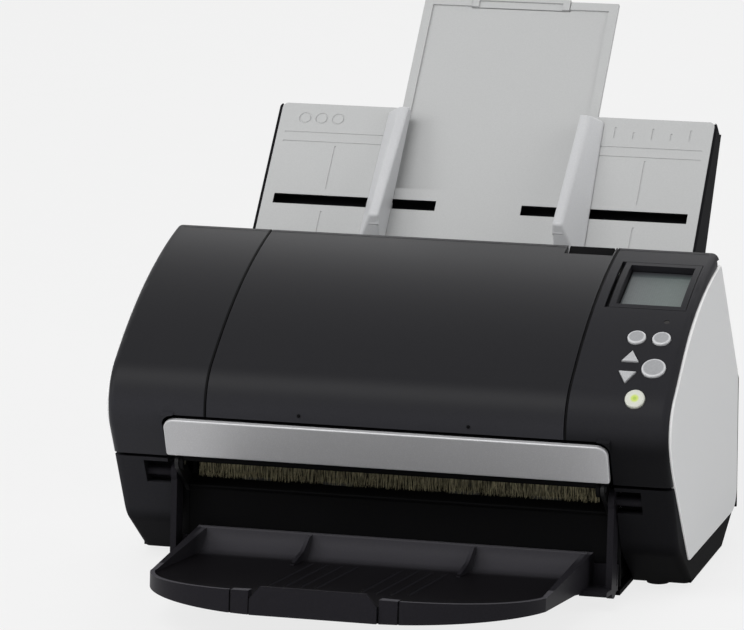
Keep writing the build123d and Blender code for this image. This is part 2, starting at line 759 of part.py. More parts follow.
def exit_brush():
    """Anti-static brush over the exit: a backing strip and its bristles."""
    backing = block(-brush_half, brush_half, brush_y - brush_thick / 2, brush_y + brush_thick / 2,
                    brush_bottom, brush_top)
    pitch = (2 * brush_half - 2) / bristle_count
    strands = []
    for i in range(bristle_count):
        x = -brush_half + 1 + pitch * (i + 0.5)
        y = brush_y + (i % bristle_rows - 0.5) * (brush_thick / 2)
        swing = sin(12.9 * i) * sin(4.7 * i + 1.0)
        lean = 0.35 * swing + 0.2 * sin(0.31 * i)
        length = brush_bottom + bristle_root - bristle_tip - bristle_spread * (0.5 + 0.5 * sin(7.3 * i))
        root = Pos(x, y, brush_bottom + bristle_root) * Rectangle(bristle_width, bristle_width)
        strands.append(Solid.extrude(root.faces()[0], Vector(lean, 0.5 * sin(5.1 * i), -length)))
    return backing.fuse(*strands)


# Paper path


def slope_block(frame_place, x0, x1, place0, place1, low, high):
    return frame_place * block(x0, x1, place0, place1, low, high)


def roller_windows(frame_place, low, high, rollers):
    """Openings in a guide for its rollers: (place, half length of the opening, centre, width)."""
    cuts = []
    for place, reach, centre, width in rollers:
        half = width / 2 + window_gap
        cuts.append(slope_block(frame_place, centre - half, centre + half, place - reach, place + reach,
                                low - 1, high + 1))
    return cuts


def chord(radius, depth):
    """Half length of the opening that a roller needs at a depth from its axis."""
    return sqrt(radius**2 - depth**2) + window_gap


def lower_guide_rollers():
    rollers = []
    for (place, radius) in (eject, feed):
        depth = radius - nip_rise - guide_thick
        rollers += [(place, chord(radius, depth), side * x, tyre_width)
                    for x in tyre_places for side in (-1, 1)]
    depth = pick[1] - nip_rise - guide_thick
    return rollers + [(pick[0], chord(pick[1], depth), 0.0, pick_width)]


def lower_paper_guide():
    """Plate that the paper slides over, with windows for the rollers and the scan glass."""
    guide = slope_block(path_frame, -side_plate[0], side_plate[0], 0, guide_end, -guide_thick, 0)
    front = guide.edges().filter_by(Axis.X).sort_by(Axis.Y)[0:2]
    guide = fillet(front, guide_thick * 0.45)
    for cut in roller_windows(path_frame, -guide_thick, 0, lower_guide_rollers()):
        guide -= cut
    return guide - slope_block(path_frame, -paper_half, paper_half, *glass_places, -guide_thick - 1, 1)


def exit_wall():
    return block(-side_plate[0], side_plate[0], *exit_wall_y, base_bottom + wall,
                 on_path(2, -guide_thick)[1] - 0.6)


def scan_unit(half, low, high, glass_low, glass_high):
    """Scan unit housing with a slot under its glass."""
    unit = slope_block(path_frame, -half, half, *unit_places, low, high)
    slot = (glass_places[0] + glass_ledge, glass_places[1] - glass_ledge)
    return unit - slope_block(path_frame, -paper_half + glass_ledge, paper_half - glass_ledge, *slot,
                              glass_low, glass_high)


def rear_scan_unit():
    top = -guide_thick
    return scan_unit(side_plate[0], top - unit_depth, top, top - 12, top + 1)


def rear_scan_glass():
    start, end = glass_places
    return slope_block(path_frame, -paper_half + 0.2, paper_half - 0.2, start + 0.2, end - 0.2,
                       -guide_thick, -guide_thick + glass_thick)


def front_scan_unit():
    low = paper_gap + guide_thick
    return scan_unit(cover_plate[0], low, low + unit_depth, low - 1, low + 12)


def front_scan_glass():
    start, end = glass_places
    top = paper_gap + guide_thick
    return slope_block(path_frame, -paper_half + 0.2, paper_half - 0.2, start + 0.2, end - 0.2,
                       top - glass_thick, top)


def upper_paper_guide():
    """Plate over the paper path, carried between the cover's side plates."""
    low, high = paper_gap, paper_gap + guide_thick
    guide = slope_block(path_frame, -cover_plate[0], cover_plate[0], 8, 100, low, high)
    rollers = []
    for place, radius in ((eject[0], eject_idler_r), (feed[0], feed_idler_r)):
        depth = max(nip_rise + clear + radius - high, 0.0)
        reach = sqrt(radius**2 - depth**2) + window_gap
        rollers += [(place, reach, side * x, idler_width) for x in tyre_places for side in (-1, 1)]
    depth = nip_rise + clear + brake_r - high
    rollers.append((pick[0], chord(brake_r, depth), 0.0, pick_width))
    for cut in roller_windows(path_frame, low, high, rollers):
        guide -= cut
    return guide - slope_block(path_frame, -paper_half, paper_half, *glass_places, low - 1, high + 1)


def tyred(axis, radius, core, start, end):
    """A shaft with four tyres."""
    roller = rod(core, start, end, axis)
    for x in tyre_places:
        for side in (-1, 1):
            roller += rod(radius, side * x - tyre_width / 2, side * x + tyre_width / 2, axis)
    return roller


def feed_roller():
    return tyred(feed_axis, feed[1], shaft_r, gear_shaft_end, shaft_end)


def eject_roller():
    return tyred(eject_axis, eject[1], shaft_r, gear_shaft_end, shaft_end)


def pick_roller():
    shaft = rod(shaft_r, -side_plate[1] - pick_motor_length + 2, shaft_end, pick_axis)
    return shaft + rod(pick[1], -pick_width / 2, pick_width / 2, pick_axis)


def pinch_rollers(axis, radius):
    end = cover_plate[1] - 0.1
    roller = rod(idler_shaft_r, -end, end, axis)
    for x in tyre_places:
        for side in (-1, 1):
            roller += rod(radius, side * x - idler_width / 2, side * x + idler_width / 2, axis)
    return roller


def brake_roller():
    end = cover_plate[1] - 0.1
    return rod(idler_shaft_r, -end, end, brake_axis) + rod(brake_r, -pick_width / 2, pick_width / 2, brake_axis)


def gear(teeth, axis, bore, phase):
    """Spur gear on the left, with a tooth at the phase angle."""
    radius = gear_module * teeth / 2
    step = 360 / teeth
    outline = []
    for i in range(teeth):
        for reach, share in ((-1.2, -0.29), (0.9, -0.1), (0.9, 0.1), (-1.2, 0.29)):
            a = radians(phase + step * (i + share))
            outline.append((axis[0] + (radius + reach * gear_module) * cos(a),
                            axis[1] + (radius + reach * gear_module) * sin(a)))
    wheel = along_x(polygon(*outline), gear_x - gear_face / 2, gear_x + gear_face / 2)
    return wheel - rod(bore, gear_x - gear_face, gear_x + gear_face, axis)


def heading(start, end):
    return degrees(atan2(end[1] - start[1], end[0] - start[0]))


def feed_gear():
    return gear(roller_teeth, feed_axis, shaft_r, heading(feed_axis, train_axis))


def idler_gear():
    half_tooth = 180 / idler_teeth
    return gear(idler_teeth, train_axis, motor_shaft_r + running, heading(train_axis, feed_axis) + half_tooth)


def eject_gear():
    """Its phase follows the idler's tooth that lies nearest to the line between them."""
    toward = heading(train_axis, eject_axis)
    step = 360 / idler_teeth
    tooth = heading(train_axis, feed_axis) + step / 2
    beyond = (tooth - toward) % step
    gap = toward + 180 - beyond * idler_teeth / roller_teeth
    return gear(roller_teeth, eject_axis, shaft_r, gap + 180 / roller_teeth)


def motor_pinion():
    """Pinion and the motor's shaft."""
    step = 360 / roller_teeth
    beyond = (heading(feed_axis, train_axis) - motor_angle) % step
    gap = motor_angle + 180 - beyond * roller_teeth / pinion_teeth
    pinion = gear(pinion_teeth, motor_axis, motor_shaft_r - 0.5, gap + 180 / pinion_teeth)
    return pinion + rod(motor_shaft_r, gear_shaft_end, -side_plate[0] + 8, motor_axis)


def drive_motor():
    motor = rod(motor_r, -side_plate[0], -side_plate[0] + motor_length, motor_axis)
    return motor - rod(motor_shaft_r + running, -side_plate[0], -side_plate[0] + 10, motor_axis)


def pick_motor():
    start = -side_plate[1] - pick_motor_length
    motor = rod(pick_motor_r, start, -side_plate[1], pick_axis)
    return motor - rod(shaft_r + running, start + 1.5, -side_plate[1], pick_axis)


# Latch


def cover_release_lever():
    """Finger plate in the notch, on an arm that swings about its pin."""
    x0, x1, y0 = lever_notch
    top = surface_at(y0)[0] - lever_sink
    rear_y = cover_path[0][0] - 1.0
    front = y0 + 1.0
    profile = polygon((front, top), (rear_y, top + 0.6), (rear_y, top + 0.6 - lever_thick),
                      (front + lever_thick, top - lever_thick), (front + lever_thick, lever_axis[1]),
                      (lever_axis[0], lever_axis[1] - lever_thick), (lever_axis[0], lever_axis[1] + lever_thick / 2),
                      (front, lever_axis[1] + lever_thick / 2))
    lever = along_x(profile, x0 + clear + 0.3, x1 - clear - 0.3)
    lever += rod(lever_thick, x0 + clear, x1 - clear, lever_axis)
    return lever + rod(lever_pin_r, x0 - 2, x1 + 2, lever_axis)


def latch_hooks():
    """Cross shaft with a hook at each end; the noses stop short of the strikes."""
    nose_y = strike[0] - strike_r - latch_gap
    y, z = latch_axis
    profile = polygon((y - 3, z), (y - 3, hook_low), (nose_y, hook_low), (nose_y, strike[1] - strike_r - latch_gap),
                      (y + 3, strike[1] - 2), (y + 3, z))
    hook = along_x(profile + disc(latch_axis, 4.5), *hook_x)
    end = hook_x[1]
    hooks = rod(latch_shaft_r, -end, end, latch_axis) + both_sides(hook)
    arm_x0 = (lever_notch[0] + lever_notch[1]) / 2
    arm = link(latch_axis, (lever_axis[0] + 7, lever_axis[1] - 8), 3.0)
    return hooks + along_x(arm, arm_x0 - 2, arm_x0 + 2)


# Chute


def chute_block(x0, x1, place0, place1, low, high):
    return slope_block(chute_frame, x0, x1, place0, place1, low, high)


def chute_plate(half, start, top, low, high):
    """A plate on the chute's slope with its two top corners rounded."""
    face = Pos(0, (start + top) / 2) * Rectangle(2 * half, top - start)
    face = fillet(face.vertices().group_by(Axis.Y)[-1], chute_corner)
    return chute_frame * Pos(0, 0, low) * extrude(face, high - low)


def chute_backing():
    """Black backing of the chute: a shallow tray under the face, deeper behind towards its foot."""
    inner = chute_half - backing_edge
    backing = chute_plate(chute_half, backing_start, chute_top, backing_back, 0.0)
    backing -= chute_block(-inner, inner, backing_start - 1, chute_top - 2 * backing_edge, backing_front, 1)
    backing -= chute_block(-inner, inner, backing_start - 1, chute_top + 1, -face_thick - face_gap, 1)
    backing -= chute_block(-extension_half - 1, extension_half + 1, chute_top - 10, chute_top + 1,
                           backing_front, 1)
    place, deep = backing_deep
    outline = [(place, backing_back), (chute_top, backing_back), (place, deep)]
    room = [(place - 1, backing_back), (chute_top - 12, backing_back), (place - 1, deep + 2 * backing_skin)]
    wedge = along_x(polygon(*outline), -chute_half, chute_half)
    wedge -= along_x(polygon(*room), -chute_half + backing_skin, chute_half - backing_skin)
    return backing + chute_frame * wedge


def chute_face():
    """Light face of the chute, with a slot on each side for the paper guides."""
    half = chute_half - backing_edge - face_gap
    face = chute_plate(half, 0, chute_top, -face_thick, 0)
    cut_half, cut_start = face_cut
    face -= chute_block(-cut_half, cut_half, cut_start, chute_top + 1, -face_thick - 1, 1)
    low, high = slot_place - slot_width / 2, slot_place + slot_width / 2
    face -= both_sides(chute_block(slot_start, slot_end, low, high, -face_thick - 1, 1))
    rib = chute_block(half - 2, half, 2, chute_top - 3 * backing_edge, backing_front, -face_thick)
    face += both_sides(rib)
    return face + chute_frame * Pos(0, slot_place, rail_layer[0]) * extrude(
        Circle(pinion_boss_r), -face_thick - rail_layer[0])


def guide_rack(side):
    """Rack bar of a side guide in the rail layer, with its teeth towards the pinion."""
    radius = gear_module * rack_pinion_teeth / 2
    low, high = rail_layer
    inner = -rack_reach
    outer = guide_inner + 1 + guide_neck
    pitch = pi * gear_module
    base = radius + 1.3 * gear_module
    outline = [(inner, base + rack_width), (inner, base)]
    count = int((outer - inner) / pitch)
    for i in range(count):
        x = inner + pitch * (i + 0.5)
        for step, height in ((-0.29, base), (-0.1, radius - 0.9 * gear_module),
                             (0.1, radius - 0.9 * gear_module), (0.29, base)):
            outline.append((x + step * pitch, height))
    outline += [(outer, base), (outer, base + rack_width)]
    face = polygon(*outline)
    if side < 0:
        face = Rot(0, 0, 180) * face
    return chute_frame * Pos(0, slot_place, low) * extrude(face, high - low)


def guide_section(place, height):
    """Section of the right side guide's fence at a place up the slope."""
    foot = guide_inner + guide_flat + guide_lean * height
    outline = polygon((guide_inner, clear), (guide_inner, height), (guide_inner + guide_flat, height),
                      (foot, clear))
    return Pos(0, place, 0) * (Plane.XZ * outline)


def side_guide(side):
    """Sliding side guide: a tapering fence on the chute's face, its neck and its rack."""
    fence = loft([guide_section(guide_low, guide_tall), guide_section(guide_high, guide_short)], ruled=True)
    nose = Plane.YZ * polygon((guide_low - 1, guide_tall - guide_nose), (guide_low - 1, guide_tall + 1),
                              (guide_low + guide_nose + 1, guide_tall + 1))
    fence -= extrude(nose, 2 * guide_inner)
    x0 = guide_inner + 1
    half = slot_width / 2 - clear
    neck = block(x0, x0 + guide_neck, slot_place - half, slot_place + half, rail_layer[0], clear + 1)
    radius = gear_module * rack_pinion_teeth / 2
    tie = block(x0, x0 + guide_neck, slot_place - half, slot_place + radius + 1.3 + rack_width, *rail_layer)
    if side < 0:
        fence, neck = other_side(fence), other_side(neck)
        tie = block(-x0 - guide_neck, -x0, slot_place - radius - 1.3 - rack_width, slot_place + half, *rail_layer)
    return chute_frame * (fence + neck + tie) + guide_rack(side)


def guide_pinion():
    radius = gear_module * rack_pinion_teeth / 2
    step = 360 / rack_pinion_teeth
    pitch = pi * gear_module
    beyond = (rack_reach % pitch) - pitch / 2
    phase = 90 + step * (0.5 - beyond / pitch)
    outline = []
    for i in range(rack_pinion_teeth):
        for reach, share in ((-1.2, -0.29), (0.9, -0.1), (0.9, 0.1), (-1.2, 0.29)):
            a = radians(phase + step * (i + share))
            outline.append(((radius + reach * gear_module) * cos(a), (radius + reach * gear_module) * sin(a)))
    low, high = rail_layer
    wheel = extrude(polygon(*outline), high - low) - extrude(Circle(pinion_boss_r + running), high - low)
    return chute_frame * Pos(0, slot_place, low) * wheel


def chute_extension():
    """Plate that slides out of the chute, with a raised rim and a bay for the pull tab."""
    low, high = extension_layer
    start = extension_top - extension_length
    plate = chute_block(-extension_half, extension_half, start, extension_top, low, high + rim_height)
    plate -= chute_block(-extension_half + rim_width, extension_half - rim_width, start - 1,
                         extension_top - rim_width, high, high + rim_height + 1)
    return plate - chute_block(-tab_half - clear, tab_half + clear, extension_top - tab_height + 1,
                               extension_top + 1, low - 1, high + rim_height + 1)


def second_extension():
    """Second plate behind the first, with the pull tab that wraps over the top."""
    low, high = stage_layer
    top = extension_top + 1
    plate = chute_block(-stage_half, stage_half, extension_top - stage_length, extension_top - 1, low, high)
    start = extension_top - tab_height + 1 + clear
    tab = chute_block(-tab_half, tab_half, start, top, low, low + tab_stand)
    dip = chute_block(-tab_half + 4, tab_half - 4, start - 1, top - 2.5, low + tab_stand - 1, low + tab_stand + 1)
    return plate + tab - dip


# Stacker


def tray_plan(shrink=0.0):
    """Outline of the stacker from above, drawn in all round by shrink."""
    rear = tray_rear_half
    left = [(-x, y) for x, y in (tray_corner, tray_bend, tray_flat)]
    edges = [Line((-rear, 0), (rear, 0)), Line((rear, 0), tray_corner),
             ThreePointArc(tray_corner, tray_bend, tray_flat),
             ThreePointArc(tray_flat, (0, tray_nose), left[2]),
             ThreePointArc(left[2], left[1], left[0]), Line(left[0], (-rear, 0))]
    face = make_face([e.edge() for e in edges])
    return offset(face, -shrink) if shrink else face


def tray_crown():
    """Upright profile that bounds the lip: lower at the corners, and lifted underneath there."""
    side = tray_rear_half + 1
    top = ThreePointArc((-side, tray_lip_corner), (0, tray_lip_top), (side, tray_lip_corner))
    under = ThreePointArc((side, tray_lift), (0, 0), (-side, tray_lift))
    ends = [Line((side, tray_lip_corner), (side, tray_lift)), Line((-side, tray_lift), (-side, tray_lip_corner))]
    face = make_face([top.edge(), ends[0].edge(), under.edge(), ends[1].edge()])
    return Pos(0, 1, 0) * extrude(Plane.XZ * face, -tray_nose + 2)


def stacker_shell():
    """Floor, skirt and lip of the stacker in its own slope."""
    high = tray_lip_top + 1
    solid = extrude(tray_plan(), high) & tray_crown()
    solid -= Pos(0, 0, tray_deck) * extrude(tray_plan(tray_skirt), high)
    under = extrude(tray_plan(tray_skirt), tray_deck - tray_floor)
    under -= block(-drawer_half - tray_skirt, drawer_half + tray_skirt, tray_nose - 1, 1, -1, high)
    return solid - under


def stacker_walls():
    """Rear wall with its cove, side walls, fins and arms, in the stacker's slope."""
    half = tray_rear_half - tray_skirt
    foot = -tray_wall_lean - cove_r - 4
    face = make_face([*Polyline((foot, tray_deck - 1), (0, tray_deck - 1), (-tray_wall_lean, tray_wall_top),
                                (-tray_wall_lean - 3, tray_wall_top)).edges(),
                      Line((-tray_wall_lean - 3, tray_wall_top), (-tray_wall_lean - 4, tray_deck + cove_r - 3)).edge(),
                      ThreePointArc((-tray_wall_lean - 4, tray_deck + cove_r - 3),
                                    (-tray_wall_lean - 8, tray_deck + 4), (foot, tray_deck)).edge(),
                      Line((foot, tray_deck), (foot, tray_deck - 1)).edge()])
    walls = along_x(face, -half, half)
    corner_y = tray_corner[1]
    side = along_x(polygon((0, 0), (0, 4), (-tray_wall_lean, tray_wall_top), (corner_y, tray_lip_corner),
                           (corner_y, tray_deck - 1), (-8, 0)), tray_corner[0] - tray_skirt, tray_rear_half)
    wedge = extrude(polygon((tray_rear_half + 1, 1), (tray_rear_half, 0), tray_corner,
                            (tray_corner[0] + 6, tray_corner[1]), (tray_rear_half + 6, 1)), 40)
    walls += both_sides(side - wedge)
    fin = along_x(polygon((-tray_wall_lean - 2, tray_wall_top), (-tray_wall_lean - 2, tray_deck - 1),
                          (-fin_reach, tray_deck - 1), (-fin_reach, tray_deck + 0.8), (-fin_reach * 0.55, tray_deck + 5),
                          (-tray_wall_lean - 9, tray_wall_top - 1)), fin_x - fin_thick / 2, fin_x + fin_thick / 2)
    return walls + both_sides(fin)


def stacker_arm():
    """Right arm from the stacker's rear corner up to its pivot pin in the pillar's notch."""
    foot = on_tray(-9, 3.0)
    arm = along_x(link(foot, pivot_axis, arm_r - 1) + disc(pivot_axis, arm_r), *arm_x)
    pin = rod(pivot_r, arm_x[0], notch[0] + notch_wall, pivot_axis)
    gusset = tray_frame * (block(tray_rear_half - 2, arm_x[1], -26, 0, 0.5, 3.0)
                           + block(tray_rear_half - 2, arm_x[1], -2.6, 0, 0.5, 14.0))
    return arm + pin + gusset


def stacker_tray():
    """Swing-up tray that catches the scanned sheets."""
    tray = stacker_shell() + stacker_walls()
    slide = drawer_half
    low, high = drawer_layer
    tray -= block(-slide, slide, tray_nose - 1, tray_nose + drawer_length + 6, low - clear, high + clear)
    tray -= block(-slide, slide, tray_nose - 1, tray_nose + drawer_front + clear, -1, 20)
    bay = stopper_half + lip_gap
    tray -= block(-bay, bay, tray_nose - 1, stopper_axis[0] + stopper_tongue + 1, tray_bottom, 20)
    tray -= block(-slide, slide, tray_nose - 1, tray_bottom_end, -1, high)
    arm = stacker_arm()
    return tray_frame * tray + arm + other_side(arm)


def stacker_extension():
    """Drawer that lengthens the tray, with two front pieces that carry the stopper."""
    half = drawer_half - clear
    low, high = drawer_layer
    back = tray_nose + drawer_length
    plan = extrude(tray_plan(), 20) & tray_crown()
    lip_half = drawer_half - lip_gap
    front = plan & block(-lip_half, lip_half, tray_nose - 1, tray_nose + drawer_front, 0, 20)
    plate = block(-half, half, tray_nose + drawer_front, back, low, high)
    drawer = front + plate
    bay = stopper_half + lip_gap
    drawer -= block(-bay, bay, tray_nose - 1, stopper_axis[0] + stopper_tongue + 1, -1, 20)
    drawer -= rod(stopper_pin_r + running, -half, half, stopper_axis)
    return tray_frame * drawer


def stacker_stopper():
    """End stop in the drawer's front: a plate, its hinge pin and the tongue that flips up."""
    y, z = stopper_axis
    plate = Plane.XZ * polygon((-stopper_half, stopper_low), (stopper_half, stopper_low),
                               (stopper_half, stopper_low + 8), (stopper_top_half, stopper_high),
                               (-stopper_top_half, stopper_high), (-stopper_half, stopper_low + 8))
    front = Pos(0, tray_nose + stopper_thick, 0) * extrude(plate, stopper_thick)
    tongue = block(-stopper_half + 1, stopper_half - 1, tray_nose + stopper_thick, y + stopper_tongue,
                   z, z + 2.0)
    pin = rod(stopper_pin_r, -stopper_half - 5, stopper_half + 5, stopper_axis)
    barrel = rod(2.2, -stopper_half, stopper_half, stopper_axis)
    return tray_frame * (front + tongue + barrel + pin)


# Boards and sockets


def main_board():
    return block(*board_x, board_y - board_thick, board_y, *board_z)


def rear_sockets():
    """Data socket and power inlet on the main board."""
    x0, x1, z0, z1 = usb
    rear_y = side_path[6][0] - 1.0
    socket = block(x0, x1, board_y, rear_y - 0.2, z0, z1)
    socket -= block(x0 + 1.6, x1 - 1.6, rear_y - 10, rear_y, z0 + 1.4, z1 - 1.4)
    x, z, radius = inlet
    barrel = Plane(origin=(x, board_y, z), z_dir=(0, 1, 0)) * extrude(Circle(radius), rear_y - 0.2 - board_y)
    bore = Plane(origin=(x, rear_y - 9, z), z_dir=(0, 1, 0)) * extrude(Circle(radius - 1.8), 10)
    pin = Plane(origin=(x, rear_y - 10, z), z_dir=(0, 1, 0)) * extrude(Circle(1.0), 8)
    return Compound([socket, barrel - bore + pin])


def all_nodes():
    """Every piece by the name of its node."""
    pillar, plate, frame_right = front_pillar(), side_panel(), side_frame()
    nodes = {
        "base_pan": base_pan(),
        "rubber_feet": rubber_feet(),
        "front_pillar_left": other_side(pillar),
        "front_pillar_right": pillar,
        "side_panel_left": other_side(plate),
        "side_panel_right": plate,
        "side_frame_left": side_frame_left(),
        "side_frame_right": frame_right,
        "rear_cover": rear_cover(),
        "screws": screws(),
        "hinge_pins": hinge_pins(),
        "lower_paper_guide": lower_paper_guide(),
        "exit_wall": exit_wall(),
        "rear_scan_unit": rear_scan_unit(),
        "rear_scan_glass": rear_scan_glass(),
        "main_board": main_board(),
        "rear_sockets": rear_sockets(),
        "drive_motor": drive_motor(),
        "pick_motor": pick_motor(),
        "chute_backing": chute_backing(),
        "chute_face": chute_face(),
        "front_cover": front_cover(),
        "front_cover_left": other_side(end_shell()),
        "operator_panel": operator_panel(),
        "exit_bar": exit_bar(),
        "cover_frame": cover_frame(),
        "upper_paper_guide": upper_paper_guide(),
        "front_scan_unit": front_scan_unit(),
        "front_scan_glass": front_scan_glass(),
        "exit_brush": exit_brush(),
        "display_module": display_module(),
        "display_window": display_window(),
        "panel_board": panel_board(),
        "check_lamp": check_lamp(),
        "cover_release_lever": cover_release_lever(),
        "latch_hooks": latch_hooks(),
        "pick_roller": pick_roller(),
        "brake_roller": brake_roller(),
        "feed_roller": feed_roller(),
        "eject_roller": eject_roller(),
        "feed_pinch_rollers": pinch_rollers(feed_idler_axis, feed_idler_r),
        "eject_pinch_rollers": pinch_rollers(eject_idler_axis, eject_idler_r),
        "motor_pinion": motor_pinion(),
        "feed_gear": feed_gear(),
        "eject_gear": eject_gear(),
        "idler_gear": idler_gear(),
        "side_guide_left": side_guide(-1),
        "side_guide_right": side_guide(1),
        "guide_pinion": guide_pinion(),
        "chute_extension": chute_extension(),
        "second_extension": second_extension(),
        "stacker_tray": stacker_tray(),
        "stacker_extension": stacker_extension(),
        "stacker_stopper": stacker_stopper(),
    }
    for name in [*round_keys, *arrow_keys]:
        nodes[name] = key(name)
    return nodes


def floor_shift(nodes):
    """Move that puts the origin on the table, at the middle of the footprint."""
    boxes = [piece.bounding_box() for piece in nodes.values()]
    front, back = min(box.min.Y for box in boxes), max(box.max.Y for box in boxes)
    return Pos(0, -(front + back) / 2, foot_drop)


def save_parts():
    nodes = all_nodes()
    shift = floor_shift(nodes)
    os.makedirs("parts", exist_ok=True)
    for name, piece in nodes.items():
        export_step(shift * piece, f"parts/{name}.step")
    print("moved by", shift.position)


if __name__ == "__main__":
    save_parts()
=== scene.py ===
import bmesh
import bpy
import json
from math import radians, sin
from mathutils import Matrix, Vector
from random import Random

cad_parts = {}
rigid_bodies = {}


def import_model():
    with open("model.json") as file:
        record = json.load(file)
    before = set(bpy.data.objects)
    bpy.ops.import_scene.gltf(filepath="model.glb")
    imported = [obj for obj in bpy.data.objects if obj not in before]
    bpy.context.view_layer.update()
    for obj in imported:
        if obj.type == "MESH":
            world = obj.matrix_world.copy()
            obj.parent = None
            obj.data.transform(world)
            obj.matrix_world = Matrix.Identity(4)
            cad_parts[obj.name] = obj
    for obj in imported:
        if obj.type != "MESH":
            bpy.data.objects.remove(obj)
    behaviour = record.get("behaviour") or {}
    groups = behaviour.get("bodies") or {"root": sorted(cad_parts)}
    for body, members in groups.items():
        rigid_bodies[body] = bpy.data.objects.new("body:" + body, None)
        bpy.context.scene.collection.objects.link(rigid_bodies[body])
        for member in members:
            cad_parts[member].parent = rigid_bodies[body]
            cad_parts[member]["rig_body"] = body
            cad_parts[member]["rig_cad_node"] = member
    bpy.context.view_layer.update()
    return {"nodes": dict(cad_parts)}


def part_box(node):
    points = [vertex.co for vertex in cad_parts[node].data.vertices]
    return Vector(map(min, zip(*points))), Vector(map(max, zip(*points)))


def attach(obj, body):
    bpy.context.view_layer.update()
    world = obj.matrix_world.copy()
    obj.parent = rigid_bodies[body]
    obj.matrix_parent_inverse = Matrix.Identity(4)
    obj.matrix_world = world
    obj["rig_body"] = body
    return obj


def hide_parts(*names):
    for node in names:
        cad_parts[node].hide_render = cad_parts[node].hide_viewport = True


# A sheet-fed document scanner, in metres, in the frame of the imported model:
# X is the operator's right, -Y the front, +Z up, and the table is at zero.

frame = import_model()
nodes = frame["nodes"]

mm = 0.001

# Where the drawing's zero lies in the model's frame
drawn_y = 5.385 * mm
drawn_z = 1.5 * mm

# Camera, from the drawing's zero
camera_place = (669.4 * mm, -2523.4 * mm, 688.7 * mm)
camera_aim = (-36.8 * mm, 23.6 * mm, 122.1 * mm)
picture_width = 744
picture_reach = 5072.0      # focal length in pixels
film_width = 36.0
camera_limit = 50.0         # farthest that the camera sees

# Backdrop and floor
backdrop_tone, backdrop_light = "f1f1f1", 0.42
floor_half = 14.0
floor_tones = ("e6e6e6", "ececec")
floor_glow, glow_share = "f6f6f6", 0.86

# Lamps: place, width and height, and watts
lamp_aim = (0.0, 0.0, 0.1)
lamps = {
    "back_light": ((0.2, 2.2, 1.75), (2.6, 0.9), 19),
    "front_light": ((-0.5, -1.5, 2.0), (1.4, 1.0), 24),
    "left_light": ((-1.7, -1.3, 1.2), (1.2, 1.2), 15),
    "right_light": ((2.0, -0.3, 1.1), (1.2, 1.4), 10),
}

# A face looks along an axis when its normal has at least this share of it
facing_share = 0.9

# Faces that meet at less than this, in degrees, shade as one
smooth_below = 35

# How far the grain takes a plastic's roughness down and up
rough_down, rough_up = 0.05, 0.07

# Slopes of the machine: place of their zero and tilt
chute_zero, chute_tilt = (0.0, 34.0 * mm, 87.1 * mm), 47.5
tray_zero, tray_tilt = (0.0, -64.0 * mm, 3.9 * mm), -6.4
display_zero, display_tilt = (122.5 * mm, -3.5 * mm, 152.112 * mm), 19.7

# Display, drawn in its own slope, and the groove beside it with its filled depth
screen_middle = 0.95 * mm
screen_wide, screen_tall = 34.1 * mm, 38.6 * mm
screen_low, screen_high = -4.0 * mm, -3.3 * mm
screen_border = 0.9 * mm
pane_share = 0.8            # of the screen's area: only the pane inside the border has more
groove_x = (-21.4 * mm, -19.4 * mm)
groove_tall = 45.0 * mm
groove_deep, groove_fill = -8.9 * mm, -1.6 * mm
display_fade = (-16 * mm, 8 * mm)           # across: greyer and darker at the left, which is painted shade, and greener at the right
display_shade = (12.5 * mm, 18.5 * mm)      # upward: into the shadow of the upper edge

# Round keys: place, tilt and radius
key_places = {
    "menu_button": ((123.0 * mm, -46.0 * mm, 133.623 * mm), 29.75, 4.8 * mm),
    "stop_button": ((136.0 * mm, -46.0 * mm, 133.623 * mm), 29.75, 4.8 * mm),
    "scan_button": ((136.0 * mm, -64.3 * mm, 122.15 * mm), 34.421, 6.25 * mm),
    "power_button": ((130.0 * mm, -80.6 * mm, 109.556 * mm), 48.722, 5.2 * mm),
}
key_rim_highlight = (1.3 * mm, 0.6 * mm)      # painted rim highlight: from and to this far inside the edge

# Power key: distances from its middle where the ring, the mark and the light fade
power_ring, power_mark, power_light = (1.5 * mm, 2.7 * mm), (0.6 * mm, 1.3 * mm), (1.2 * mm, 3.0 * mm)
power_glow = 0.28

# Shafts inside the rollers, and how far outside them their tyres start
drive_shaft_r, pinch_shaft_r = 3.0 * mm, 1.5 * mm
tyre_start = 0.2 * mm

# Side panels: distance from the middle plane where their painted edge highlight turns into paint
panel_edge_highlight = (149.88 * mm, 149.985 * mm)

# Brush
brush_y = -59.0 * mm
brush_half = 108.4 * mm
brush_root, brush_top, brush_tip = 56.6 * mm, 60.0 * mm, 48.6 * mm
brush_thick = 3.0 * mm
brush_inset = 1 * mm        # bare ends of the strip
bristle_count = 1500
bristle_wide, bristle_sunk = 0.30 * mm, 0.4 * mm
bristle_bow = 1.6           # how far a bristle bows, in its own half widths
least_length, more_length = 0.8, 0.22       # shares of the drawn length, the second by chance
least_width, more_width = 0.7, 0.6          # the same for the width
root_depth = 2.0 * mm       # front to back of the band that the roots stand in
tuft_pitch = 2.4 * mm
tuft_lean, chance_lean, depth_lean = 0.16, 0.3, 0.16        # sideways run per length
wave_lean, wave_long = 0.05, 9 * mm

# Slots of the chute's face, in its slope: from, to, and how softly the painted shade inside them starts and
# ends
slot_x = (23.0 * mm, 117.0 * mm, 0.1 * mm)
slot_up = (103.5 * mm, 112.0 * mm, 0.1 * mm)
slot_in = (-30.0 * mm, -0.3 * mm, 0.05 * mm)

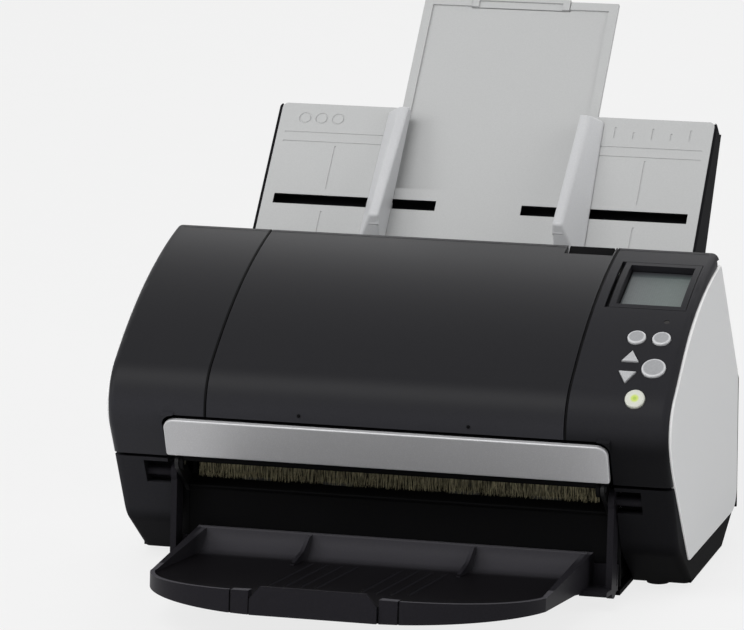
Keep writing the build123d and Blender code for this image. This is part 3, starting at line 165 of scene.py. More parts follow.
# Lines moulded in the chute's face
band_edge = 151.0 * mm      # lower edge of the upper band
second_edge = 145.0 * mm
line_x = (54.5 * mm, 118.0 * mm)
upright_x = 87.5 * mm
upright_ends = ((115.0 * mm, 143.0 * mm), (60.0 * mm, 100.5 * mm))
line_wide, line_deep = 1.0 * mm, 0.35 * mm
ring_places = (-108.0 * mm, -98.5 * mm, -89.0 * mm)
ring_up, ring_r = 160.5 * mm, 3.2 * mm
tick_places = (68.0 * mm, 78.5 * mm, 89.0 * mm, 99.5 * mm, 110.0 * mm)
tick_low, tick_long = 157.0 * mm, 7.0 * mm
tick_shares = (1.0, 0.6)    # every second tick is shorter

# Stacker in its own slope: floor, lip at its middle and corners, and rear wall
deck_height = 8.0 * mm
lip_middle, lip_corner, lip_half = 12.6 * mm, 9.0 * mm, 107.0 * mm
wall_top = 20.0 * mm

# Zones of the stacker's painted light and shade, in the same slope: from, to, and how softly they start and
# end
deck_band = (deck_height - 0.4 * mm, deck_height + 1.3 * mm, 0.1 * mm)
inner_band = (deck_height - 0.4 * mm, deck_height + 30 * mm, 0.1 * mm)
inner_width = (-103 * mm, 103 * mm, 0.5 * mm)
rear_length = (-20 * mm, 20 * mm, 10 * mm)
lip_rim_band = (lip_middle - 0.35 * mm, lip_middle + 2 * mm, 0.1 * mm)
lip_length = (-160 * mm, -80 * mm, 1 * mm)
wall_rim_band = (wall_top - 0.5 * mm, wall_top + 1 * mm, 0.2 * mm)
wall_width = (-108 * mm, 108 * mm, 0.5 * mm)
level_share = (0.7, 2.0, 0.05)      # of a normal, upward

# Ribs on the stacker's floor
rib_places = (12.0 * mm, 20.0 * mm, 28.0 * mm, 36.0 * mm)
rib_ends = (-112.0 * mm, -30.0 * mm)
rib_wide, rib_high, rib_sunk = 2.2 * mm, 0.9 * mm, 0.2 * mm
rib_flank = 0.32            # each sloping flank, as a share of the width
rib_outside = 0.4           # share of the width past which a corner is the foot's
rib_taper = 0.86            # length of the crest, as a share of the foot's

# Fences of the side guides, in the chute's slope
fence_inner, fence_crest = 48.3 * mm, 53.9 * mm
fence_foot_low, fence_foot_high = 64.0 * mm, 61.5 * mm
fence_low, fence_high = 87.5 * mm, 167.3 * mm
fence_tall, fence_short, fence_clear = 21.2 * mm, 6.4 * mm, 0.35 * mm
fence_rake = 15.5 * mm      # how far the foot runs down the slope past the crest

# Finger plate of the release lever, in the cover's notch
plate_x = (68.8 * mm, 93.2 * mm)
plate_low, plate_high = (26.0 * mm, 156.5 * mm), (34.6 * mm, 163.4 * mm)
plate_thick = 1.5 * mm
plate_near = 0.1 * mm       # corners this near its rear edge are lifted

# Rounded corners of the recess round the exit bar
recess_half, recess_top = 119.1 * mm, (-90.6 * mm, 88.1 * mm)
recess_lean = 114.8
recess_r, recess_plate = 6.6 * mm, 3.0 * mm
recess_skin = 0.1 * mm      # least thickness of a filler, at its ends

# Seams of the front cover: node and span of each
seams = {"operator_panel": (94.9 * mm, 96.2 * mm), "front_cover_left": (-96.2 * mm, -94.9 * mm)}
seam_proud = 0.05 * mm

# Rounding of the pieces' edges
fence_round, strip_round, liner_round = 1.5 * mm, 0.4 * mm, 0.2 * mm
plate_round, edging_round, shroud_round = 0.5 * mm, 0.3 * mm, 0.3 * mm
fillet_round, rib_round, pip_round = 0.1 * mm, 0.3 * mm, 0.25 * mm

# Heights between which a finish changes to that of its foot, which is a painted highlight on the cover and
# painted shade on the panel and the base
cover_foot = (92.0 * mm, 108.0 * mm)
panel_foot = (84.0 * mm, 98.0 * mm)
base_foot = (22.0 * mm, 34.0 * mm)

# Black edging behind the side panels: y and z of its corners
edging_x = (144.0 * mm, 149.7 * mm)
edging_path = ((84.6 * mm, 91.0 * mm), (88.4 * mm, 86.5 * mm), (88.4 * mm, 15.5 * mm))
edging_wide = 1.6 * mm

# Dark plates beside the stacker's arms, whose dark is painted shade
shroud_x, shroud_y = (112.8 * mm, 118.9 * mm), (-60.4 * mm, -59.4 * mm)
shroud_z = (5.5 * mm, 47.0 * mm)

# Fillets that close the cut lines in the stacker's lip, dark as painted shade: span and front of each, in
# its slope
lip_gaps = (((42.45 * mm, 43.35 * mm), -153.6 * mm), ((32.5 * mm, 33.4 * mm), -154.4 * mm))
gap_rear, gap_z = -149.5 * mm, (0.45 * mm, 9.0 * mm)

# Small moulded marks of the front cover
pip_places = ((-45.0 * mm, -88.05 * mm, 91.6 * mm), (45.0 * mm, -88.05 * mm, 91.6 * mm))
pip_r, pip_deep = 0.9 * mm, 1.2 * mm


def drawn(x, y, z):
    """A place of the drawing, in the model's frame."""
    return (x, y + drawn_y, z + drawn_z)


def slope_of(zero, tilt):
    """The turn and move of a slope, from its zero and tilt."""
    return Matrix.Translation(drawn(*zero)) @ Matrix.Rotation(radians(tilt), 4, "X")


def tone(hex_colour):
    """Linear colour of an sRGB hex value."""
    parts = [int(hex_colour[i:i + 2], 16) / 255 for i in (0, 2, 4)]
    return tuple(p / 12.92 if p <= 0.04045 else ((p + 0.055) / 1.055)**2.4 for p in parts) + (1.0,)


def put(tree, kind, inputs=None, **settings):
    """Adds a node: inputs sets or links its sockets by name, settings sets the rest."""
    node = tree.nodes.new("ShaderNode" + kind)
    for key, value in settings.items():
        setattr(node, key, value)
    for key, value in (inputs or {}).items():
        socket = node.inputs[key]
        if isinstance(value, bpy.types.NodeSocket):
            tree.links.new(value, socket)
        else:
            socket.default_value = value
    return node


def fresh(name):
    """A new material with an empty tree, its output and its Object coordinates."""
    material = bpy.data.materials.new(name)
    material.use_nodes = True
    tree = material.node_tree
    tree.nodes.clear()
    return material, tree, put(tree, "TexCoord").outputs["Object"]


def shade(tree, inputs):
    """Ends a tree in a Principled shader."""
    shader = put(tree, "BsdfPrincipled", inputs)
    put(tree, "OutputMaterial", {"Surface": shader.outputs[0]})


def blend_tones(tree, factor, low, high, ends=(0.0, 1.0)):
    """A colour that goes from one hex tone to another as a factor goes from one end to the other."""
    ramp = put(tree, "ValToRGB", {"Fac": factor})
    for element, end, hex_colour in zip(ramp.color_ramp.elements, ends, (low, high)):
        element.position = end
        element.color = tone(hex_colour)
    return ramp.outputs["Color"]


def span(tree, value, low, high, soft):
    """1 between two values and 0 outside them, with soft ends."""
    rise = put(tree, "MapRange", {"Value": value, "From Min": low - soft, "From Max": low + soft},
               interpolation_type="SMOOTHSTEP")
    fall = put(tree, "MapRange", {"Value": value, "From Min": high - soft, "From Max": high + soft,
                                  "To Min": 1.0, "To Max": 0.0}, interpolation_type="SMOOTHSTEP")
    return put(tree, "Math", {0: rise.outputs[0], 1: fall.outputs[0]}, operation="MULTIPLY").outputs[0]


def times(tree, *values):
    """Product of masks."""
    result, *rest = values
    for value in rest:
        result = put(tree, "Math", {0: result, 1: value}, operation="MULTIPLY").outputs[0]
    return result


def sloped(tree, place, zero, tilt):
    """Coordinates in a slope, from its zero, that follow the piece when it moves."""
    level = put(tree, "Mapping", {"Vector": place, "Location": drawn(*zero),
                                  "Rotation": (radians(tilt), 0.0, 0.0)}, vector_type="TEXTURE")
    return level.outputs[0]


def key_reach(tree, place, name):
    """Distance from a round key's middle, across its top."""
    middle, tilt, _ = key_places[name]
    flat = put(tree, "VectorMath", {0: sloped(tree, place, middle, tilt), 1: (1.0, 1.0, 0.0)},
               operation="MULTIPLY")
    return put(tree, "VectorMath", {0: flat.outputs[0]}, operation="LENGTH").outputs["Value"]


def moulded(name, low, high, roughness, grain, depth, gloss=0.5):
    """Injection-moulded plastic: a fine spark-eroded grain and a slow drift of tone."""
    material, tree, place = fresh(name)
    drift = put(tree, "TexNoise", {"Vector": place, "Scale": 1 / (60 * mm), "Detail": 2.0})
    speck = put(tree, "TexNoise", {"Vector": place, "Scale": 1 / grain, "Detail": 3.0, "Roughness": 0.6})
    both = put(tree, "Math", {0: drift.outputs["Fac"], 1: speck.outputs["Fac"]}, operation="ADD")
    half = put(tree, "MapRange", {"Value": both.outputs[0], "From Min": 0.7, "From Max": 1.3})
    rough = put(tree, "MapRange", {"Value": speck.outputs["Fac"], "To Min": roughness - rough_down,
                                   "To Max": roughness + rough_up})
    bump = put(tree, "Bump", {"Height": speck.outputs["Fac"], "Distance": depth, "Strength": 1.0})
    shade(tree, {"Base Color": blend_tones(tree, half.outputs[0], low, high), "IOR": 1.5,
                 "Specular IOR Level": gloss, "Roughness": rough.outputs[0], "Normal": bump.outputs[0]})
    return material


# Finishes


def shell_black(name, upper, foot, zone, roughness, gloss):
    """Black ABS with a satin grain, whose tone changes to that of its foot between two heights.
    The real grain is about 0.2 mm and is drawn coarser to show."""
    material, tree, place = fresh(name)
    speck = put(tree, "TexNoise", {"Vector": place, "Scale": 1 / (0.9 * mm), "Detail": 3.0,
                                   "Roughness": 0.6}).outputs["Fac"]
    height = put(tree, "SeparateXYZ", {"Vector": place}).outputs["Z"]
    low = put(tree, "MapRange", {"Value": height, "From Min": zone[0], "From Max": zone[1],
                                 "To Min": 1.0, "To Max": 0.0}, interpolation_type="SMOOTHSTEP")
    # The foot's tone is painted light and shade: a painted highlight on the cover, painted shade on the
    # panel, the base and the left pillar
    colour = put(tree, "Mix", {0: low.outputs[0], 6: blend_tones(tree, speck, *upper),
                               7: blend_tones(tree, speck, *foot)}, data_type="RGBA").outputs[2]
    rough = put(tree, "MapRange", {"Value": speck, "To Min": roughness - rough_down,
                                   "To Max": roughness + rough_up})
    bump = put(tree, "Bump", {"Height": speck, "Distance": 0.01 * mm})
    shade(tree, {"Base Color": colour, "Specular IOR Level": gloss, "Roughness": rough.outputs[0],
                 "Normal": bump.outputs[0]})
    return material


def cover_black():
    """The cover: charcoal with a soft sheen that lightens towards the top, and a lighter foot that is a
    painted highlight above the exit bar.
    """
    return shell_black("satin_black_abs", ("161619", "1e1e21"), ("26262a", "303034"),
                       cover_foot, 0.42, 0.12)


def panel_black():
    """The operator panel, from another mould: a duller sheen, a lighter tone down to the fold that is
    partly a painted highlight, and a darker foot that is painted shade.
    """
    return shell_black("panel_black_abs", ("232326", "2b2b2e"), ("101012", "171719"),
                       panel_foot, 0.42, 0.05)


def base_black():
    """The base: nearly without gloss, and darker where it slopes in above the table, a darkening that is
    painted shade.
    """
    return shell_black("matt_black_abs", ("18181a", "1f1f21"), ("0b0b0c", "111112"),
                       base_foot, 0.55, 0.006)


def left_pillar_painted_light():
    """The left pillar, a shade lighter than the base, which is painted light from the left, so that it
    carries on the cover; its darker foot is painted shade, as on the base.
    """
    return shell_black("pillar_painted_light_abs", ("2a2a2d", "333336"), ("18181a", "1f1f21"),
                       base_foot, 0.55, 0.006)


def back_black():
    """ABS with an open spark-eroded grain and some sheen, for the rear cover."""
    return moulded("grained_black_abs", "1b1b1d", "28282b", 0.45, 1.4 * mm, 0.03 * mm, gloss=0.35)


def hidden_black():
    """Unpolished black mouldings inside the machine."""
    return moulded("inner_black_abs", "0a0a0b", "0e0e0f", 0.6, 1.5 * mm, 0.02 * mm, gloss=0.05)


def stacker_black():
    """Black ABS with a slight violet cast, for the stacker: matt all over, with painted shade that darkens
    its floor, painted light that makes its rear wall paler, and painted highlights that make its rims paler
    still."""
    material, tree, place = fresh("stacker_black_abs")
    axes = put(tree, "SeparateXYZ", {"Vector": sloped(tree, place, tray_zero, tray_tilt)}).outputs
    facing = put(tree, "SeparateXYZ", {"Vector": place.node.outputs["Normal"]}).outputs["Z"]
    upward = span(tree, facing, *level_share)
    above = span(tree, axes["Z"], *inner_band)
    flat = span(tree, axes["Z"], *deck_band)
    rear = span(tree, axes["Y"], *rear_length)
    between = span(tree, axes["X"], *inner_width)
    bow = put(tree, "Math", {0: axes["X"], 1: axes["X"]}, operation="MULTIPLY").outputs[0]
    crown = put(tree, "Math", {0: bow, 1: (lip_middle - lip_corner) / lip_half**2, 2: axes["Z"]},
                operation="MULTIPLY_ADD").outputs[0]
    lip_rim = times(tree, upward, span(tree, crown, *lip_rim_band), span(tree, axes["Y"], *lip_length))
    wall_rim = times(tree, rear, span(tree, axes["Z"], *wall_rim_band), span(tree, axes["X"], *wall_width))
    speck = put(tree, "TexNoise", {"Vector": place, "Scale": 1 / (0.8 * mm), "Detail": 3.0}).outputs["Fac"]
    matt = blend_tones(tree, speck, "1d1c1f", "27262a")
    # Painted shade on the floor, painted light on the rear wall and painted highlights on the rims
    floor_painted_shade = blend_tones(tree, speck, "0c0b0d", "131214")
    wall_painted_light = blend_tones(tree, speck, "38373b", "424145")
    rim_painted_highlight = blend_tones(tree, speck, "424145", "525155")
    colour = put(tree, "Mix", {0: times(tree, flat, upward), 6: matt, 7: floor_painted_shade}, data_type="RGBA").outputs[2]
    colour = put(tree, "Mix", {0: times(tree, above, rear, between), 6: colour, 7: wall_painted_light},
                 data_type="RGBA").outputs[2]
    rims = put(tree, "Math", {0: lip_rim, 1: wall_rim}, operation="MAXIMUM").outputs[0]
    colour = put(tree, "Mix", {0: rims, 6: colour, 7: rim_painted_highlight}, data_type="RGBA").outputs[2]
    bump = put(tree, "Bump", {"Height": speck, "Distance": 0.012 * mm})
    shade(tree, {"Base Color": colour, "Specular IOR Level": 0.02, "Roughness": 0.4,
                 "Normal": bump.outputs[0]})
    return material


def chute_grey():
    """Light grey ABS with a fine matt grain, for the chute; inside its two slots it is painted black,
    as painted shade in the openings."""
    material, tree, place = fresh("light_grey_abs")
    axes = put(tree, "SeparateXYZ", {"Vector": sloped(tree, place, chute_zero, chute_tilt)}).outputs
    sideways = put(tree, "Math", {0: axes["X"]}, operation="ABSOLUTE").outputs[0]
    # Painted shade: the slots' insides go black
    slot_painted_shade = times(tree, span(tree, sideways, *slot_x), span(tree, axes["Y"], *slot_up),
                 span(tree, axes["Z"], *slot_in))
    speck = put(tree, "TexNoise", {"Vector": place, "Scale": 1 / (0.8 * mm), "Detail": 3.0,
                                   "Roughness": 0.6}).outputs["Fac"]
    shell = blend_tones(tree, speck, "b2b3b3", "bfc0c0")
    colour = put(tree, "Mix", {0: slot_painted_shade, 6: shell, 7: tone("0c0c0d")}, data_type="RGBA").outputs[2]
    rough = put(tree, "MapRange", {"Value": speck, "To Min": 0.45, "To Max": 0.57})
    bump = put(tree, "Bump", {"Height": speck, "Distance": 0.012 * mm})
    shade(tree, {"Base Color": colour, "Roughness": rough.outputs[0], "Normal": bump.outputs[0]})
    return material


def guide_grey():
    """The slightly cooler grey of the side guides."""
    return moulded("pale_grey_abs", "c3c4c6", "cccdcf", 0.42, 0.9 * mm, 0.008 * mm)


def panel_silver():
    """Pale silver paint on the side panels: a fine flake that greys the gloss, and a lighter line round
    the edges that is a painted highlight."""
    material, tree, place = fresh("pale_silver_paint")
    flake = put(tree, "TexNoise", {"Vector": place, "Scale": 1 / (0.5 * mm), "Detail": 3.0})
    paint = blend_tones(tree, flake.outputs["Fac"], "c8c9ca", "d2d3d4")
    sideways = put(tree, "Math", {0: put(tree, "SeparateXYZ", {"Vector": place}).outputs["X"]},
                   operation="ABSOLUTE")
    # Painted highlight: a lighter line round the panel's edges
    edge = put(tree, "MapRange", {"Value": sideways.outputs[0], "From Min": panel_edge_highlight[0],
                                  "From Max": panel_edge_highlight[1], "To Min": 1.0, "To Max": 0.0})
    colour = put(tree, "Mix", {0: edge.outputs[0], 6: paint, 7: tone("f0f0f0")},
                 data_type="RGBA").outputs[2]
    bump = put(tree, "Bump", {"Height": flake.outputs["Fac"], "Distance": 0.004 * mm})
    shade(tree, {"Base Color": colour, "Roughness": 0.42, "Normal": bump.outputs[0]})
    return material


def bar_silver():
    """Silver-grey metallic paint on the exit bar, with a fine flake."""
    material, tree, place = fresh("silver_bar_paint")
    flake = put(tree, "TexVoronoi", {"Vector": place, "Scale": 1 / (0.6 * mm)})
    rough = put(tree, "MapRange", {"Value": flake.outputs["Distance"], "To Min": 0.34, "To Max": 0.46})
    colour = blend_tones(tree, flake.outputs["Distance"], "b8b8ba", "c6c6c8")
    shade(tree, {"Base Color": colour, "Metallic": 0.3, "Roughness": rough.outputs[0]})
    return material


def key_silver(name):
    """Silver-painted key: a speckled middle and a brighter rim that is a painted highlight."""
    material, tree, place = fresh("silver_" + name.replace("button", "key"))
    radius = key_places[name][2]
    # Painted highlight on the key's rim
    rim = put(tree, "MapRange", {"Value": key_reach(tree, place, name), "From Min": radius - key_rim_highlight[0],
                                 "From Max": radius - key_rim_highlight[1]})
    speck = put(tree, "TexNoise", {"Vector": place, "Scale": 1 / (0.7 * mm), "Detail": 3.0})
    middle = blend_tones(tree, speck.outputs["Fac"], "8b8c8f", "abacae")
    colour = put(tree, "Mix", {0: rim.outputs[0], 6: middle, 7: tone("cdced0")}, data_type="RGBA")
    bump = put(tree, "Bump", {"Height": speck.outputs["Fac"], "Distance": 0.02 * mm})
    shade(tree, {"Base Color": colour.outputs[2], "Roughness": 0.36, "Normal": bump.outputs[0]})
    return material


def arrow_silver():
    """The two arrow keys, in the same paint."""
    return moulded("silver_arrow_keys", "adaeb0", "bfc0c2", 0.36, 0.7 * mm, 0.01 * mm)


def key_lit():
    """Power key: a white ring round a translucent middle lit yellow-green, greener at its centre."""
    material, tree, place = fresh("lit_power_key")
    reach = key_reach(tree, place, "power_button")
    ring = put(tree, "MapRange", {"Value": reach, "From Min": power_ring[0], "From Max": power_ring[1]})
    lit = blend_tones(tree, ring.outputs[0], "aebf50", "cbcdc2")
    mark = put(tree, "MapRange", {"Value": reach, "From Min": power_mark[0], "From Max": power_mark[1]})
    colour = put(tree, "Mix", {0: mark.outputs[0], 6: tone("8fa83a"), 7: lit},
                 data_type="RGBA").outputs[2]
    glow = put(tree, "MapRange", {"Value": reach, "From Min": power_light[0], "From Max": power_light[1],
                                  "To Min": power_glow, "To Max": 0.0})
    shade(tree, {"Base Color": colour, "Roughness": 0.3, "Emission Color": colour,
                 "Emission Strength": glow.outputs[0]})
    return material


def brush_hair():
    """Conductive nylon and natural hair: khaki tips among darker, olive-brown strands."""
    material, tree, place = fresh("khaki_bristles")
    strands = put(tree, "Mapping", {"Vector": place,
                                    "Scale": (1 / (0.5 * mm), 1 / (1.5 * mm), 1 / (9 * mm))})
    tint = put(tree, "TexNoise", {"Vector": strands.outputs[0], "Scale": 1.0, "Detail": 1.0})
    colour = blend_tones(tree, tint.outputs["Fac"], "2e2a1c", "d8cfa8", ends=(0.36, 0.66))
    shade(tree, {"Base Color": colour, "Roughness": 0.55})
    return material


def screen_grey():
    """Reflective liquid-crystal display behind clear acrylic: grey-green, with painted shade that makes it
    greyer and darker at the left and darkens it under its upper edge, and a faint cell pattern."""
    material, tree, place = fresh("grey_green_display")
    flat = sloped(tree, place, display_zero, display_tilt)
    axes = put(tree, "SeparateXYZ", {"Vector": flat}).outputs
    across = put(tree, "MapRange", {"Value": axes["X"], "From Min": display_fade[0],
                                    "From Max": display_fade[1]})
    upward = put(tree, "MapRange", {"Value": axes["Y"], "From Min": display_shade[0],
                                    "From Max": display_shade[1]}, interpolation_type="SMOOTHSTEP")
    # Painted shade: greyer and darker towards the left
    face = blend_tones(tree, across.outputs[0], "4c5153", "545f5d")
    cells = put(tree, "TexBrick", {"Vector": flat, "Color1": tone("ffffff"), "Color2": tone("f6f6f6"),
                                   "Mortar": tone("e6e6e6"), "Scale": 1 / (1.2 * mm), "Mortar Size": 0.06,
                                   "Row Height": 1.0, "Brick Width": 1.0}, offset=0.0)
    lined = put(tree, "Mix", {0: 1.0, 6: face, 7: cells.outputs["Color"]}, data_type="RGBA",
                blend_type="MULTIPLY").outputs[2]
    colour = put(tree, "Mix", {0: upward.outputs[0], 6: lined, 7: tone("303134")},
                 data_type="RGBA").outputs[2]
    shade(tree, {"Base Color": colour, "Roughness": 0.5, "Specular IOR Level": 0.2, "Coat Weight": 0.6,
                 "Coat Roughness": 0.06, "Coat IOR": 1.49})
    return material


def rubber():
    """Matt black rubber."""
    return moulded("black_rubber", "121213", "1a1a1b", 0.82, 0.7 * mm, 0.03 * mm, gloss=0.2)


def roller_finish(node, shaft_r, tread):
    """A bright steel shaft with ground rubber tyres, told apart by their distance from the axis."""
    low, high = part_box(node)
    axis = (0.0, (low[1] + high[1]) / 2, (low[2] + high[2]) / 2)
    material, tree, place = fresh(node + "_finish")
    away = put(tree, "VectorMath", {0: place, 1: axis}, operation="SUBTRACT").outputs[0]
    flat = put(tree, "VectorMath", {0: away, 1: (0.0, 1.0, 1.0)}, operation="MULTIPLY").outputs[0]
    reach = put(tree, "VectorMath", {0: flat}, operation="LENGTH").outputs["Value"]
    tyre = put(tree, "Math", {0: reach, 1: shaft_r + tyre_start}, operation="GREATER_THAN").outputs[0]
    metal = put(tree, "Math", {0: 1.0, 1: tyre}, operation="SUBTRACT").outputs[0]
    grind = put(tree, "TexNoise", {"Vector": place, "Scale": 1 / (0.8 * mm), "Detail": 3.0})
    rubbered = blend_tones(tree, grind.outputs["Fac"], tread, "4a4c4f")
    colour = put(tree, "Mix", {0: tyre, 6: tone("b4b6b8"), 7: rubbered}, data_type="RGBA").outputs[2]
    rough = put(tree, "MapRange", {"Value": tyre, "To Min": 0.25, "To Max": 0.8})
    shade(tree, {"Base Color": colour, "Metallic": metal, "Roughness": rough.outputs[0]})
    return material


def steel():
    """Zinc-plated sheet steel with a faint spangle."""
    material, tree, place = fresh("zinc_plated_steel")
    spangle = put(tree, "TexVoronoi", {"Vector": place, "Scale": 1 / (4 * mm)})
    rough = put(tree, "MapRange", {"Value": spangle.outputs["Distance"], "To Min": 0.28, "To Max": 0.42})
    colour = blend_tones(tree, spangle.outputs["Distance"], "a4a6a8", "bcbec0")
    shade(tree, {"Base Color": colour, "Metallic": 1.0, "Roughness": rough.outputs[0]})
    return material


def frame_black_steel():
    """Black sheet steel for the frames that show beside the stacker, whose black is partly painted shade
    there.
    """
    return moulded("black_frame_steel", "101011", "161617", 0.45, 2.0 * mm, 0.01 * mm, gloss=0.25)


def acetal():
    """Off-white acetal gears: waxy."""
    return moulded("white_acetal", "d9d6cb", "e4e1d8", 0.35, 1.2 * mm, 0.004 * mm)


def scan_glass():
    """Float glass with its greenish cast."""
    material, tree, place = fresh("float_glass")
    haze = put(tree, "TexNoise", {"Vector": place, "Scale": 1 / (20 * mm)})
    rough = put(tree, "MapRange", {"Value": haze.outputs["Fac"], "To Min": 0.0, "To Max": 0.03})
    shade(tree, {"Base Color": tone("dcebe4"), "Transmission Weight": 1.0, "IOR": 1.52,
                 "Roughness": rough.outputs[0]})
    return material


def circuit_board():
    """Green solder mask with faint copper runs under it."""
    material, tree, place = fresh("green_circuit_board")
    runs = put(tree, "TexBrick", {"Vector": place, "Color1": tone("1d4a30"), "Color2": tone("23573a"),
                                  "Mortar": tone("2f7048"), "Scale": 1 / (9 * mm), "Mortar Size": 0.05})
    shade(tree, {"Base Color": runs.outputs["Color"], "Roughness": 0.35})
    return material


def smoked_lens():
    """The unlit check lamp: a dark smoked lens."""
    return moulded("smoked_lens", "0c0a0a", "141010", 0.18, 0.8 * mm, 0.002 * mm, gloss=0.4)


def dress(material, *names):
    """Gives nodes of the drawing their finish."""
    for name in names:
        mesh = nodes[name].data
        mesh.materials.clear()
        mesh.materials.append(material)


def dress_nodes():
    """Finishes of the nodes of the drawing."""
    dress(cover, "front_cover", "front_cover_left")
    dress(panel, "operator_panel", "display_module", "cover_release_lever")
    dress(base, "base_pan", "front_pillar_right", "rear_sockets", "chute_backing")
    # The left pillar's lighter tone is painted light
    dress(left_pillar_painted_light(), "front_pillar_left")
    dress(back_black(), "rear_cover")
    dress(inner, "exit_wall", "cover_frame", "upper_paper_guide", "lower_paper_guide",
          "rear_scan_unit", "front_scan_unit", "latch_hooks", "eject_gear")
    dress(stacker, "stacker_tray", "stacker_extension", "stacker_stopper")
    dress(panel_silver(), "side_panel_left", "side_panel_right")
    dress(bar_silver(), "exit_bar")
    dress(chute, "chute_face", "chute_extension", "second_extension")
    dress(guide_grey(), "side_guide_left", "side_guide_right")
    for name in ("menu_button", "stop_button", "scan_button"):
        dress(key_silver(name), name)
    dress(key_lit(), "power_button")
    dress(arrow_silver(), "up_button", "down_button")
    dress(rubber(), "rubber_feet")
    for name in ("pick_roller", "feed_roller", "eject_roller"):
        dress(roller_finish(name, drive_shaft_r, "2d2e30"), name)
    for name in ("brake_roller", "feed_pinch_rollers", "eject_pinch_rollers"):
        dress(roller_finish(name, pinch_shaft_r, "35363a"), name)
    dress(frame_black_steel(), "side_frame_left", "side_frame_right")
    dress(steel(), "screws", "hinge_pins", "drive_motor", "pick_motor")
    dress(acetal(), "motor_pinion", "feed_gear", "idler_gear", "guide_pinion")
    dress(scan_glass(), "rear_scan_glass", "front_scan_glass")
    dress(circuit_board(), "main_board", "panel_board")
    dress(smoked_lens(), "check_lamp")


# Pieces


def only(piece):
    """Makes one object the selected and active one."""
    bpy.ops.object.select_all(action="DESELECT")
    piece.select_set(True)
    bpy.context.view_layer.objects.active = piece


def settle(piece, name, material, slope=None):
    """Names a finished piece, moves its place into its mesh and gives it its finish."""
    only(piece)
    bpy.ops.object.transform_apply(location=True, rotation=True, scale=True)
    if slope:
        piece.data.transform(slope)
    piece.name = name
    piece.data.name = name
    piece.data.materials.clear()
    piece.data.materials.append(material)
    return piece


def picked(piece, kind, test):
    """Opens a piece for editing with the corners, edges or faces selected that pass a test."""
    only(piece)
    bpy.ops.object.mode_set(mode="EDIT")
    bpy.ops.mesh.select_all(action="DESELECT")
    mesh = bmesh.from_edit_mesh(piece.data)
    for part in getattr(mesh, kind):
        part.select = test(part)
    if kind == "verts":
        mesh.select_flush(True)


def apply_all(piece):
    """Applies a piece's modifiers."""
    only(piece)
    for modifier in list(piece.modifiers):
        bpy.ops.object.modifier_apply(modifier=modifier.name)


def softened(piece, width, segments=2):
    """Rounds a piece's sharp edges."""
    bevel = piece.modifiers.new("edges", "BEVEL")
    bevel.width = width
    bevel.segments = segments
    bevel.limit_method = "ANGLE"
    apply_all(piece)
    bpy.ops.object.shade_smooth_by_angle(angle=radians(smooth_below))


def carved(piece, tool):
    """Cuts one piece's shape out of another."""
    cut = piece.modifiers.new("carved", "BOOLEAN")
    cut.object = tool
    cut.solver = "EXACT"
    apply_all(piece)
    bpy.data.objects.remove(tool)


def joined(pieces):
    """Several pieces as one."""
    bpy.ops.object.select_all(action="DESELECT")
    for piece in pieces:
        piece.select_set(True)
    bpy.context.view_layer.objects.active = pieces[0]
    bpy.ops.object.join()
    return bpy.context.object


def copied(piece, move):
    """A copy with its own mesh, moved."""
    twin = piece.copy()
    twin.data = piece.data.copy()
    twin.data.transform(move)
    bpy.context.scene.collection.objects.link(twin)
    return twin


def own_copy(node):
    """A copy of a node of the drawing, merged, to be modelled further."""
    twin = copied(nodes[node], Matrix.Identity(4))
    twin.parent = None
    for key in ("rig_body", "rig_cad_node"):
        if key in twin:
            del twin[key]
    only(twin)
    bpy.ops.object.mode_set(mode="EDIT")
    bpy.ops.mesh.select_all(action="SELECT")
    bpy.ops.mesh.remove_doubles(threshold=0.001 * mm)
    bpy.ops.object.mode_set(mode="OBJECT")
    return twin


def bar_between(low, high):
    """A block between two corners, to be shaped further."""
    middle = [(a + b) / 2 for a, b in zip(low, high)]
    bpy.ops.mesh.primitive_cube_add(size=1.0, location=middle, scale=[b - a for a, b in zip(low, high)])
    block = bpy.context.object
    bpy.ops.object.transform_apply(location=True, rotation=True, scale=True)
    return block


def shift(piece, test, move):
    """Moves the corners whose place passes a test."""
    picked(piece, "verts", lambda vertex: test(vertex.co))
    bpy.ops.transform.translate(value=move)
    bpy.ops.object.mode_set(mode="OBJECT")


def mirrored(piece):
    """The same piece on the other side."""
    twin = copied(piece, Matrix.Diagonal((-1, 1, 1, 1)))
    twin.data.flip_normals()
    return twin


def one_bristle():
    """A bowed, tapering bristle that hangs from its root, one unit long and one in half width."""
    bpy.ops.mesh.primitive_cone_add(vertices=4, radius1=0.35, radius2=1.0, depth=1.0,
                                    location=(0, 0, -0.5))
    bristle = bpy.context.object
    bpy.ops.object.transform_apply(location=True)
    picked(bristle, "edges", lambda edge: abs(edge.verts[0].co.z - edge.verts[1].co.z) > 0.5)
    bpy.ops.mesh.subdivide(number_cuts=2)
    bpy.ops.object.mode_set(mode="OBJECT")
    for vertex in bristle.data.vertices:
        vertex.co.x += bristle_bow * vertex.co.z**2
    return bristle


